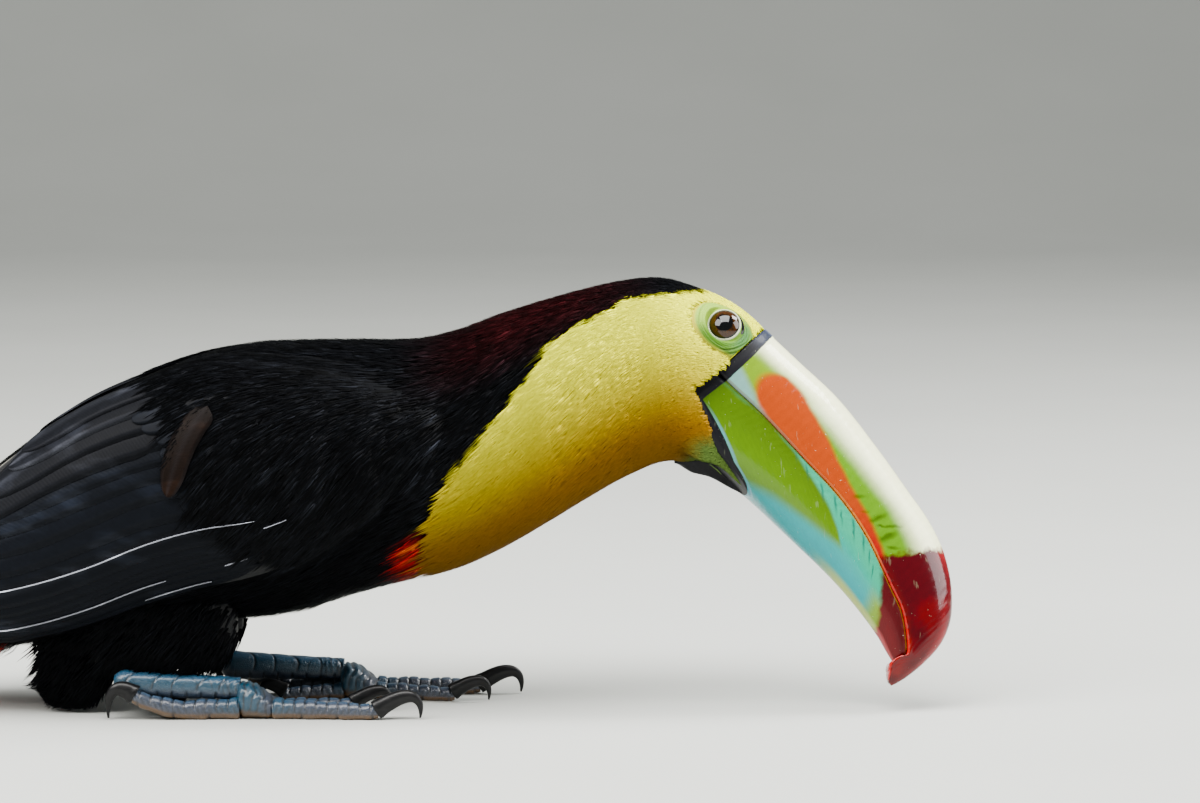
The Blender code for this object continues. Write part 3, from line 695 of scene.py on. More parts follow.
# green at the root, sea-blue ahead of it and below, paler toward the red
green = paint.mix(v.step(0.1, 0.6), srgb(84, 114, 0), srgb(104, 142, 8))
sea = paint.mix(soft.step(0.25, 0.9), srgb(84, 186, 150), srgb(76, 176, 180))
belly = curve_of(paint, t, (0, 0.90), (0.10, 0.84), (0.25, 0.72), (0.40, 0.66), (0.52, 0.58), (0.62, 0.45),
                 (1, 0.4))
colour = paint.mix((soft - belly).step(-0.07, 0.10), green, sea)
above = curve_of(paint, t, (0, 0), (0.24, 0.0), (0.33, 0.10), (0.40, 0.22), (0.46, 0.40), (0.53, 0.70),
                 (1, 1))
colour = paint.mix((above - soft).step(-0.06, 0.07), colour, sea)
colour = paint.mix(t.step(0.64, 0.72) * v.step(0.35, 0.7), colour, srgb(146, 178, 84))
# pale line along the lower ridge from the middle on: a painted highlight
colour = paint.mix(v.step(0.90, 0.985) * t.step(0.35, 0.55), colour, srgb(208, 224, 150))
# dark strokes that rise from the cutting edge
marks = strokes(t, v, wisp, [(0.330, 0.05, 0.18, 0.04, 0.008), (0.388, 0.08, 0.26, 0.06, 0.010),
                             (0.440, 0.05, 0.24, 0.07, 0.011), (0.472, 0.14, 0.30, 0.05, 0.008),
                             (0.522, 0.05, 0.30, 0.07, 0.011), (0.572, 0.05, 0.26, 0.07, 0.010),
                             (0.610, 0.10, 0.30, 0.06, 0.008), (0.640, 0.20, 0.42, 0.05, 0.006),
                             (0.290, 0.02, 0.10, 0.03, 0.006)])
colour = paint.mix(marks * 0.75, colour, srgb(44, 92, 84))
# wine-red tip, darkest by the cutting edge
wine = paint.mix(v.step(0.30, 0.75), (0.11, 0.0004, 0.004), (0.17, 0.0006, 0.004))
# pale pink along the ridge of the tip: the same painted highlight
wine = paint.mix(v.step(0.90, 0.985), wine, (0.62, 0.09, 0.10))
end = (t + (wisp - 0.5) * 0.04 - v * 0.085).step(0.655, 0.690)
colour = paint.mix(end, colour, wine)
lip = paint.mix(t.step(0.30, 0.50), srgb(120, 132, 60), srgb(196, 150, 84))
colour = paint.mix(rim.step(0.8, 0.45) * 0.7, colour, lip)
# black band round the root, widest half-way down, with a pale blue line ahead of it
black_to = curve_of(paint, v, (0, 0.47), (0.12, 0.52), (0.3, 0.66), (0.6, 0.72), (0.8, 0.62), (1, 0.30))
black_to = black_to * 10.0
halo = (base - black_to - 0.9 + (wisp - 0.5) * 0.6).abs()
halo = halo.step(1.7, 0.2) * v.step(0.16, 0.45)
colour = paint.mix(halo * 0.7, colour, srgb(128, 186, 206))
band = (black_to - base + (wisp - 0.5) * 0.5).step(-0.15, 0.2)
colour = paint.mix(band, colour, BLACK_HORN)
bill_lower.data.materials.append(horn_finish(paint, colour, band.most(end * 0.7), base, wisp, cloud))
for piece, node in ((bill_upper, "bill_upper"), (bill_lower, "bill_lower")):
    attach(piece, "root")
    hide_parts(node)

# bare black horn on the inner side of the left half of the lower jaw, beside the hollow of the
# chin: a closed shell over the body, its width as a root at the rear and eased down in front
paint = Paint("jaw_horn", Roughness=0.42, Specular_IOR_Level=0.12)
wear = paint.noise(500.0, 4.0)
worn_black = paint.mix(wear.step(0.45, 0.75), (0.002, 0.002, 0.003), (0.007, 0.007, 0.009))
jaw_paint = paint.set(Base_Color=worn_black, Normal=paint.bump(wear, 0.00015), Roughness=0.30 + wear * 0.25)
x = np.linspace(138.5, 169.5, 60)[:, None]
k = np.linspace(-1, 1, 22)[None]
spread = 3.1 * np.sqrt(np.clip((x - 138.3) / 9, 0, 1)) * (1 - 0.6 * ease((x - 162) / 8))
y = np.maximum(jaw_apart(x) - 1.9 + k * spread, 0.25)
angle = -np.arccos((y / smooth(BODY, x, 3)) ** (FULLNESS / 2))
bulge = 0.15 + 0.75 * np.sqrt(np.clip(1 - k**4, 0, 1))
shell = np.concatenate([body(x, angle, bulge), body(x, angle, -0.8 + 0 * bulge)[:, ::-1]], 1)
faces = [grid_faces(*shell.shape[:2], True)] + end_strips(*shell.shape[:2])
jaw = mesh_of("jaw_rim_left", turned(shell), faces, outward=True)
jaw.data.materials.append(jaw_paint)
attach(jaw, "root")

# ---------------------------------------------------------------- eyes
# Glass eyes: one ball each with a clear bulge over the iris, a round black pupil, a dark brown
# iris with fine rays, and a black rim. They sit in the sockets and stand a little out of them.
def eyeball():
    """Points at polar angle q from the outward axis: R (1 + 0.035 exp(-(q / 33 deg)^2)) long."""
    q = np.linspace(0.002, math.pi - 0.002, 80)[:, None]
    a = turns(96)
    r = EYEBALL_R * (1 + 0.035 * np.exp(-((q / 0.58) ** 2)) * (q < 1.6))
    ring = np.cos(a)[..., None] * gaze_ahead + np.sin(a)[..., None] * gaze_up
    p = eye_middle + (r * np.cos(q))[..., None] * GAZE + (r * np.sin(q))[..., None] * ring
    uv = np.stack(np.broadcast_arrays(q / math.pi, a / (2 * math.pi)), -1)
    return p, np.concatenate([uv.reshape(-1, 2), [(0, 0), (1, 0)]])


for side, name in ((-1, "right"), (1, "left")):
    grid, uv = eyeball()
    p, faces = tube(grid)
    ball = mesh_of("eyeball_" + name, turned(p * (1, side, 1)), faces, {"iris": uv}, outward=True)
    paint = Paint("eye_" + name, Roughness=0.02, IOR=1.45)
    q, around = paint.uv("iris")
    q = q * 180.0
    rays = paint.noise(1100.0, 3.0)
    iris = paint.mix(rays.step(0.3, 0.75), srgb(20, 11, 4), srgb(52, 31, 11))
    iris = paint.mix(q.step(30, 40), iris, srgb(44, 24, 8))
    # pupil, iris and the black rim by degrees from the middle
    colour = paint.mix(q.step(25.6, 26.4), (0.0008, 0.0008, 0.001), iris)
    colour = paint.mix(q.step(43.0, 45.0), colour, (0.002, 0.002, 0.002))
    ball.data.materials.append(paint.set(Base_Color=colour))
    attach(ball, "root")
    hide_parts("eye_" + name)

# ---------------------------------------------------------------- skin round the eyes
# Bare green skin from the lids out to the feathers: a thin pale lid rim against the ball, a smooth
# swollen ring, then low folds that crowd in front of the eye and under it. One closed patch a side.
LID_RINGS, LID_ROUND = 66, 150
LID_OPENS = 5.35                # radius of the opening
LID_BACK, LID_DOWN = 0.75, 1.25  # how far the patch's middle lies behind and under the eye's


def on_body(forward, upward):
    """x and angle of the body's points lying at forward, upward in the eye's tangent plane.

    Nine steps of Newton's method, each of limited length, from a first guess.
    """
    def seen(x, angle):
        """Shares of the way from the eye's place along its two tangents."""
        off = body(x, angle) - eye_at
        return np.stack([(off * eye_ahead).sum(-1), (off * eye_up).sum(-1)], -1)

    x, angle = EYE_X + forward, eye_angle + upward / 24.0
    for _ in range(9):
        here = seen(x, angle)
        jx, ja = (seen(x + 0.01, angle) - here) / 0.01, (seen(x, angle + 0.001) - here) / 0.001
        det = jx[..., 0] * ja[..., 1] - jx[..., 1] * ja[..., 0]
        miss = here - np.stack([forward, upward], -1)
        x = x - np.clip((miss[..., 0] * ja[..., 1] - miss[..., 1] * ja[..., 0]) / det, -2, 2)
        angle = angle - np.clip((jx[..., 0] * miss[..., 1] - jx[..., 1] * miss[..., 0]) / det, -0.15, 0.15)
    return x, angle


def arc(a, middle, width):
    """1 along directions near the middle one, easing to 0 at width from it; in degrees."""
    gap = np.abs((np.degrees(a) - middle + 180) % 360 - 180)
    return ease(1.4 * (1 - gap / width))


def lid_reach(a):
    """Radius of the bare skin: longer toward both corners and in front, shorter above."""
    return 11.6 + 0.9 * np.cos(a) ** 2 + 1.2 * arc(a, -35, 60) - 0.5 * arc(a, 90, 60)


def crease(r, at, wide, depth):
    """A narrow valley round the radius at, with a small swelling on both its sides."""
    valley = np.exp(-(((r - at) / wide) ** 2))
    return -depth * valley + depth * 0.45 * np.exp(-(((r - at) / (wide * 2.6)) ** 2))


def lid_patch():
    """Polar grid round the eye: the ball's own height at the rim, the body's surface outside.

    The height is a sum over radius of the rim's bead, the swollen ring, the concentric folds,
    each limited to its directions, and a drop under the feathers at the outer limit.
    """
    a = turns(LID_ROUND)
    front = 0.5 + 0.5 * np.cos(a)
    reach = lid_reach(a)
    k = np.linspace(0, 1, LID_RINGS)[:, None]
    r = LID_OPENS + (reach - LID_OPENS) * (0.55 * k + 0.45 * k**2)
    wave = 0.25 * np.sin(3 * a + 0.7) + 0.18 * np.sin(5 * a + 2.0)
    fold = (crease(r, 7.5 + wave * 0.5, 0.15, 0.24) * (arc(a, -5, 75) + 0.35 * arc(a, 110, 70))
            + crease(r, 8.6 + wave * 0.6, 0.25, 0.32) * arc(a, 5, 60)
            + crease(r, 9.6 + wave, 0.30, 0.50) * arc(a, -45, 70)
            + crease(r, 10.9 + wave, 0.30, 0.42) * arc(a, -75, 60)
            + crease(r, 8.4 + wave, 0.24, 0.22) * arc(a, -120, 60)
            + crease(r, 9.3 + wave, 0.28, 0.25) * arc(a, 60, 55)
            + crease(r, 9.9 + wave, 0.32, 0.30) * arc(a, 172, 50))
    fine = (0.05 * np.sin(r * 9.0 + 2.2 * np.sin(2 * a) + 3 * np.sin(a * 7) * 0.3)
            + 0.035 * np.sin(a * 46 + 3.0 * np.sin(r * 1.7))) * ease((r - 6.6) / 1.2)
    swell = 0.60 * np.exp(-(((r - 6.3) / 1.5) ** 2)) + (0.55 + 0.15 * front) * ease((reach - r) / 4.5) + 0.12
    out = ease((reach - r) / 1.6)
    x, angle = on_body(r * np.cos(a) - LID_BACK, r * np.sin(a) - LID_DOWN)
    shell = body(x, angle, (swell + fold + fine) * out - 1.1 * (1 - out))
    # near the ball: heights over the tangent plane follow the ball itself, with the rim's bead
    ball_top = np.sqrt(np.maximum(EYEBALL_R**2 - r**2, 6.0))
    bead = -0.35 + 0.35 * ease((r - LID_OPENS) / 0.12) + 0.62 * ease((r - LID_OPENS - 0.1) / 0.28)
    plane = (eye_middle + (r * np.cos(a))[..., None] * gaze_ahead + (r * np.sin(a))[..., None] * gaze_up
             + (ball_top + bead)[..., None] * GAZE)
    m = ease((r - LID_OPENS - 0.45) / 1.7)[..., None]
    p = plane * (1 - m) + shell * m
    past = p[..., 0] - edge_x(p[..., 2]) + 0.5
    p[..., 0] -= np.maximum(past, 0)
    p[..., 1] -= 1.6 * ease(past / 1.2)
    return p, r, a + 0 * r, fold, reach + 0 * r, x, angle


LID_TINT = dict(pale=(0.48, 0.80, 0.03), green=(0.12, 0.34, 0.01), sea=(0.085, 0.30, 0.045),
                moss=(0.075, 0.20, 0.0), lemon=(0.50, 0.68, 0.0), gold=(0.95, 0.80, 0.03),
                rim=(1.3, 1.4, 1.0))

for side, name in ((-1, "right"), (1, "left")):
    p, r, a, fold, reach, x, angle = lid_patch()
    c = np.zeros(r.shape + (3,)) + LID_TINT["green"]
    c = blend(c, LID_TINT["pale"], arc(a, 150, 95) * 0.9)
    c = blend(c, LID_TINT["lemon"], arc(a, 75, 60) * 0.75)
    c = blend(c, LID_TINT["sea"], arc(a, -10, 60) * ease((r - 6.8) / 1.0) * ease((10.2 - r) / 1.2))
    c = blend(c, LID_TINT["moss"], arc(a, -95, 75) * ease((r - 7.2) / 2.5) * 0.9)
    c = blend(c, LID_TINT["lemon"], ease((r - reach + 2.4) / 2.0) * (0.35 + 0.5 * arc(a, 60, 110)))
    c = blend(c, LID_TINT["pale"], np.exp(-(((r - 6.2) / 0.8) ** 2)) * 0.35)
    c = blend(c, LID_TINT["gold"], ease((r - reach + 2.2) / 1.7) * (0.55 + 0.45 * arc(a, 150, 120)))
    c = blend(c, LID_TINT["rim"], ease((LID_OPENS + 0.85 - r) / 0.25) * 0.95)
    c = blend(c, (0.004, 0.004, 0.003), ease((LID_OPENS + 0.16 - r) / 0.08))
    # each fold darkened in its valley and lightened on its swellings: painted shade and painted highlight
    c = c * np.clip(1 + 1.4 * fold, 0.34, 1.12)[..., None]
    # the closing back of the patch runs inside the skin and meets the opening again
    back = body(x, angle, -2.6 + 0 * r)[::-1]
    p = np.concatenate([p, back[:1] * 0.2 + p[-1:] * 0.8, back[2::6]])
    c = np.concatenate([c, np.repeat(c[-1:], len(p) - len(c), 0)])
    j = np.arange(LID_ROUND)
    k, last = (j + 1) % LID_ROUND, (len(p) - 1) * LID_ROUND
    faces = [grid_faces(len(p), LID_ROUND, True), np.stack([j, last + j, last + k, k], -1)]
    lids = mesh_of("orbital_skin_" + name, turned(p * (1, side, 1)), faces, colours={"lid": c}, outward=True)
    paint = Paint("orbital_skin_" + name, Roughness=0.5, Specular_IOR_Level=0.15, Coat_Weight=0.04,
                  Coat_Roughness=0.3)
    grain = paint.noise(2600.0, 3.0)
    colour = paint.tone(paint.colour("lid"), 0.34 + grain * 0.20)
    lids.data.materials.append(paint.set(Base_Color=colour, Normal=paint.bump(grain, 0.00008),
                                         Roughness=0.36 + grain * 0.2))
    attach(lids, "root")

# ---------------------------------------------------------------- legs
# Bare tarsi and zygodactyl toes in blue-grey skin: two toes ahead, two back. Broad shields overlap
# along the top like tiles, soft ochre pads bulge under each joint, and the skin wrinkles between.
FEET = {"right": (-12.0, -24.0, -1), "left": (23.0, 19.5, 1)}     # ankle's x and y, outward
TARSUS_LENGTH = 45.0
# toes: number, 1 ahead or -1 back, root's y, length, drift outward, radius, lift of the tip
TOES = [(1, -1, -4.0, 22.0, -4.5, 3.0, 0.0), (2, 1, -3.9, 29.0, -6.5, 3.2, 0.0),
        (3, 1, 3.9, 38.0, 3.0, 3.6, 0.0), (4, -1, 4.0, 38.0, 3.2, 3.8, 5.5)]


def oval_grid(middle, across, up, half_across, half_up, a, fullness=2.3):
    """Superellipse rings about middle: across cos^(2/n) + up sin^(2/n), with their outward normals."""
    c, s = power(np.cos(a), 2 / fullness), power(np.sin(a), 2 / fullness)
    off = across * (half_across * c)[..., None] + up * (half_up * s)[..., None]
    normal = across * (np.cos(a) / half_across)[..., None] + up * (np.sin(a) / half_up)[..., None]
    return middle + off, unit(normal)


def toe_root(ankle_x, ahead):
    """x at which a toe leaves the ankle, in front of it or behind."""
    return ankle_x + 6.3 if ahead > 0 else ankle_x - 5.3


def groove(f, length, wide):
    """1 where the phase f is whole, falling as a bell of that half-width; length is one repeat's."""
    return np.exp(-((np.minimum(f, 1 - f) * length / wide) ** 2))


def shields(s, a, length, top, depth, skew=0.0):
    """Overlapping plates along s where sin a > top: each swells and drops at its far edge."""
    w = ease((np.sin(a) - top) / 0.35)
    f = np.mod(s / length + skew * np.cos(a), 1.0)
    plate = 0.55 * np.sin(math.pi * np.clip(f, 0, 1)) ** 0.5 + 0.55 * f
    gap = groove(f, length, 0.35)
    return w * depth * (plate - 0.9 * gap - 0.4), w * gap


def pads(s, a, length, depth):
    """Cushions under the toe, parted by creases."""
    w = ease((-np.sin(a) - 0.05) / 0.5)
    f = np.mod(s / length, 1.0)
    gap = groove(f, length, 0.45)
    return w * depth * (np.sin(math.pi * f) ** 0.6 - 0.6 - 0.8 * gap), w * gap


def limb(name, node, points, normals, relief, tint, paint):
    """Closed tube over a grid of rings with relief along its normals, its soles flat on the floor."""
    p = points + normals * relief[..., None]
    p[..., 2] = np.maximum(p[..., 2], 0.0)
    verts, faces = tube(p)
    piece = mesh_of(name, verts, faces, colours={"hide": tube(tint)[0]}, outward=True)
    piece.data.materials.append(paint)
    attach(piece, "root")
    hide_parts(node)


paint = Paint("leg_skin", Roughness=0.36, Specular_IOR_Level=0.5, Coat_Weight=0.45, Coat_Roughness=0.2)
pebble = paint.node("ShaderNodeTexVoronoi", {"feature": "DISTANCE_TO_EDGE"},
                    {"Vector": paint.place(), "Scale": 1300.0})
mottle = paint.noise(500.0, 4.0)
cracks = pebble.step(0.0, 0.16)
colour = paint.tone(paint.colour("hide"), 0.72 + mottle * 0.5)
colour = paint.mix((1 - cracks) * 0.30, colour, (0.006, 0.010, 0.014))
leg_paint = paint.set(Base_Color=colour, Normal=paint.bump(cracks * 0.6 + mottle * 0.6, 0.00012),
                      Roughness=0.28 + mottle * 0.2)
# the dark of the joints between scales, also laid into wrinkle and fold valleys as painted shade
TEAL, SLATE, SEAM_AND_CREASE_SHADE = srgb(22, 54, 70), srgb(44, 50, 62), (0.003, 0.004, 0.006)
OCHRE, PAINTED_TOP_HIGHLIGHT = srgb(92, 68, 42), srgb(56, 86, 112)
Y_AXIS, Z_AXIS = np.array((0, 1.0, 0)), np.array((0, 0, 1.0))

for name, (ax, ay, outer) in FEET.items():
    # ankle block, wrinkled where the toes fold
    t = np.linspace(0, 1, 44)[:, None]
    a = turns(72)
    x = ax - 6.4 + 13.8 * t + 0 * a
    block = np.array([(ax - 5, 13.4, 7.6), (ax, 12.4, 8.0), (ax + 4, 9.4, 8.0), (ax + 6, 8.0, 7.6)])
    high, wide = smooth(block, x, 1), smooth(block, x, 2)
    ends = np.sqrt(1 - 0.55 * np.clip(1 - np.minimum(t, 1 - t) / 0.22, 0, 1) ** 2) + 0 * a
    middle = np.stack([x, ay + 0 * x, high / 2 - 0.4], -1)
    p, n = oval_grid(middle, Y_AXIS, Z_AXIS, wide * ends, high / 2 * ends, a, 2.6)
    wander = 1.9 * np.sin(a * 2 + 0.6) + 1.3 * np.cos(a * 3 + x * 0.4) + 0.5 * np.sin(a * 7)
    wrinkle = np.sin(x * 2.1 + wander)
    relief = 0.26 * wrinkle * ease(np.sin(a) + 0.6) - 0.2
    tint = blend(np.zeros(x.shape + (3,)) + TEAL, SLATE, ease((x - ax) / 5))
    # wrinkle valleys darkened: painted shade
    tint = blend(tint, SEAM_AND_CREASE_SHADE, ease((-wrinkle - 0.55) / 0.4) * 0.85)
    tint = blend(tint, OCHRE, ease((-np.sin(a) - 0.2) / 0.4) * 0.8)
    limb("ankle_" + name, "foot_" + name, p, n, relief, tint, leg_paint)

    # tarsus, smooth teal with long oblique seams
    t = np.linspace(0, 1, 150)[:, None]
    s = TARSUS_LENGTH * t + 0 * a
    swell = 0.5 * np.exp(-(((s - 41) / 6) ** 2)) + 0.3 * np.exp(-((s / 7) ** 2))
    round_end = (1 - np.clip(0.12 - t, 0, 1) ** 2 / 0.12**2 * 0.75) ** 0.5 + 0 * a
    middle = np.stack([ax - 50.3 + s, ay + 0 * s, 12.0 - 1.7 * t + 0 * a], -1)
    half_wide, half_high = (4.6 - 0.6 * t) * round_end, (5.1 - 1.7 * t) * round_end + swell * 0.4
    p, n = oval_grid(middle, Y_AXIS, Z_AXIS, half_wide, half_high, a)
    bend = s + 3.4 * np.cos(a) * outer - 1.5 * np.sin(a) + 0.8 * np.sin(s / 3.0)
    plate = np.mod(bend / 8.2, 1.0)
    seam = groove(plate, 8.2, 0.34) * ease((np.sin(a) + 0.35) / 0.4)
    cross = groove(np.mod((s - 4.5 * np.cos(a) * outer) / 5.4 + 0.3, 1.0), 5.4, 0.22)
    cross = cross * ease((s - 20) / 14) * ease((np.sin(a) + 0.2) / 0.4)
    under, crack = shields(s, -a, 5.2, 0.15, 0.30)
    fold = np.sin(bend * 2.6 + 2 * np.sin(a * 3)) * ease((s - 33) / 8)
    relief = 0.12 - 0.34 * seam - 0.22 * cross + under - 0.1 * fold + 0.15 * np.sin(math.pi * plate)
    # paler along the top: painted highlight
    tint = blend(np.zeros(s.shape + (3,)) + TEAL, PAINTED_TOP_HIGHLIGHT, ease((np.sin(a) - 0.3) / 0.6) * 0.5)
    tint = blend(tint, SLATE, ease((-np.sin(a) + 0.1) / 0.5) * 0.85)
    tint = blend(tint, SEAM_AND_CREASE_SHADE, np.clip(seam + cross * 0.8 + crack, 0, 1) * 0.92)
    # fold valleys darkened: painted shade
    tint = blend(tint, SEAM_AND_CREASE_SHADE, ease((-fold - 0.5) / 0.4) * 0.6)
    limb("shank_" + name, "tarsus_" + name, p, n, relief, tint, leg_paint)

    for number, ahead, start, length, aside, radius, lift in TOES:
        # toe, its rings closer than 0.35 mm
        t = np.linspace(0, 1, 26 + int(length * 3.2))[:, None]
        a = turns(48)
        s = length * t + 0 * a
        knuckle = 1 + 0.075 * np.cos(6 * math.pi * t)
        tip = (1 - 0.28 * ease((t - 0.93) / 0.07)) * (1 - 0.15 * ease((0.03 - t) / 0.03))
        r = radius * (1 - 0.2 * t) * knuckle * tip + 0 * a
        y = ay + outer * (start + aside * t**1.3) + 0 * a
        z = radius * (1 - 0.2 * t) * 0.93 + lift * np.maximum(0, 2 * t - 1) ** 1.5 + 0 * a
        middle = np.stack([toe_root(ax, ahead) + ahead * s, y, z], -1)
        p, n = oval_grid(middle, Y_AXIS, Z_AXIS, r * 0.98, r, a)
        top, seam = shields(s, a, 3.9, 0.0, 0.42, 0.06)
        cushion, crack = pads(s + 2.0, a, length / 3.0, 0.35)
        side = np.sin(s * 2.9 + 1.5 * np.sin(a * 4)) * np.exp(-((np.sin(a) / 0.4) ** 2))
        tint = blend(np.zeros(s.shape + (3,)) + SLATE, TEAL, ease((0.35 - t) / 0.3) * 0.7 + 0 * a)
        # paler along the top: painted highlight
        tint = blend(tint, PAINTED_TOP_HIGHLIGHT, ease((np.sin(a) - 0.75) / 0.25) * 0.35)
        tint = blend(tint, OCHRE, ease((-np.sin(a) - 0.05) / 0.45) * 0.85)
        tint = blend(tint, SEAM_AND_CREASE_SHADE, np.clip(seam * 0.95 + crack * 0.8, 0, 1))
        # side wrinkles darkened in their valleys: painted shade
        tint = blend(tint, SEAM_AND_CREASE_SHADE, ease((-side - 0.35) / 0.4) * 0.55)
        limb("toe_%d_skin_%s" % (number, name), "toe_%d_%s" % (number, name), p, n,
             top + cushion + 0.10 * side - 0.12, tint, leg_paint)

# ---------------------------------------------------------------- claws
# Strong hooked claws of black horn, thick at the root where skin laps over them, finely
# scratched all over, with the point resting on the floor.
# how far each toe's claw runs on, and how high it arches
CLAW_REACH = {1: 9.0, 2: 13.5, 3: 16.0, 4: 9.5}
CLAW_RISE = {1: 3.2, 2: 4.8, 3: 5.6, 4: 3.6}
paint = Paint("claw_horn", Roughness=0.35, Specular_IOR_Level=0.2, Coat_Weight=0.12, Coat_Roughness=0.12)
scratch = paint.noise(900.0, 3.0, stretch=(0.3, 1, 1))
colour = paint.mix(scratch.step(0.5, 0.8), srgb(5, 5, 6), srgb(17, 16, 18))
claw_paint = paint.set(Base_Color=colour, Normal=paint.bump(scratch, 0.00008),
                       Roughness=0.28 + scratch * 0.3)

for name, (ax, ay, outer) in FEET.items():
    for number, ahead, start, length, aside, radius, lift in TOES:
        reach, rise, z0 = CLAW_REACH[number], CLAW_RISE[number], 3.4 + lift
        xe, ye = toe_root(ax, ahead) + ahead * (length - 0.9), ay + outer * (start + aside)

        def claw_path(t):
            """Hook: ahead by sin(1.75 t), up by sin(pi t), down to the floor by t^2."""
            return np.stack([xe + ahead * reach * np.sin(1.75 * t), ye + outer * aside * 0.1 * t,
                             z0 + rise * np.sin(math.pi * t) - (z0 - 0.7) * t * t], -1)

        t = np.linspace(0, 1, 60)
        along_path = unit(claw_path(t + 0.02) - claw_path(t - 0.02))
        up = unit(np.cross(along_path, Y_AXIS))
        up *= np.sign((up * Z_AXIS).sum(-1, keepdims=True)[:1])
        a = turns(28)
        r = (radius * 0.90 * (1 - 0.90 * t**1.4))[:, None] + 0 * a
        collar = 1 + 0.10 * np.exp(-(((t - 0.03) / 0.05) ** 2))[:, None]
        p, n = oval_grid(claw_path(t)[:, None], Y_AXIS, up[:, None], r * 0.75 * collar, r * collar, a, 2.2)
        limb("claw_%d_horn_%s" % (number, name), "claw_%d_%s" % (number, name), p, n, 0 * r,
             np.zeros(p.shape) + 0.01, claw_paint)

# ---------------------------------------------------------------- small feathers
# Loose, hair-like body feathers: each tuft is a fan of slim three-sided barbs rooted in the skin.
# They lie back over one another, short and silky on the face, longest on the bib, back and belly.
draw = np.random.default_rng(41)
PATCH = 0.003                   # width of one feather's own patch in the OFBake map


def scattered(count, x_from, x_to, length_at, a_from=0.0, a_to=2 * math.pi):
    """Evenly spread roots on the straight body, denser where the feathers are shorter.

    Root i takes the fractions of two irrational multiples of i, the first turned into x through
    the summed girth over length^1.15, and both are then shaken a little.
    """
    xs = np.linspace(x_from, x_to, 400)
    girth = (smooth(BODY, xs, 1) - smooth(BODY, xs, 2) + 2 * smooth(BODY, xs, 3))
    grow = np.cumsum(girth / length_at(xs) ** 1.15)
    i = np.arange(count) + draw.random()
    x = np.interp(np.mod(i * 0.7548776662, 1) * (grow[-1] - grow[0]) + grow[0], grow, xs)
    angle = a_from + np.mod(i * 0.5698402910, 1) * (a_to - a_from)
    return x + draw.normal(0, 0.35, count), angle + draw.normal(0, 0.012, count)


def plume_mesh(name, path, across, width, tint, uv_root, tall=0.16):
    """Joined slim barbs. path: barbs x sections x 3, across: the same, width: barbs x sections.

    Every section but the last is a triangle: two sides at half the width and a ridge raised over
    them; the last section is a point. The roots are closed.
    """
    n, k = path.shape[:2]
    ahead = unit(np.gradient(path, axis=1))
    side = unit(across - (across * ahead).sum(-1, keepdims=True) * ahead)
    up = np.cross(side, ahead)
    w = width[..., None]
    rings = np.stack([path + side * w / 2, path + up * w * tall, path - side * w / 2], 2)[:, :-1]
    verts = np.concatenate([rings.reshape(n, -1, 3), path[:, -1:]], 1)
    per = verts.shape[1]
    tip = 3 * (k - 1)
    ends = [(tip - 3 + c, tip - 3 + (c + 1) % 3, tip) for c in range(3)] + [(2, 1, 0)]
    base = (np.arange(n) * per)[:, None, None]
    faces = [(grid_faces(k - 1, 3, True)[None] + base).reshape(-1, 4),
             (np.array(ends)[None] + base).reshape(-1, 3)]
    shade = np.concatenate([np.repeat(tint[:, :-1], 3, 1), tint[:, -1:]], 1)
    spot = np.zeros((n, per, 2)) + uv_root[:, None]
    spot[..., 0] += PATCH * (np.tile(np.arange(per), (n, 1)) % 3) / 2
    spot[..., 1] += PATCH * np.arange(per) / per
    return mesh_of(name, turned(verts), faces, {"OFBake": spot}, {"tint": shade})


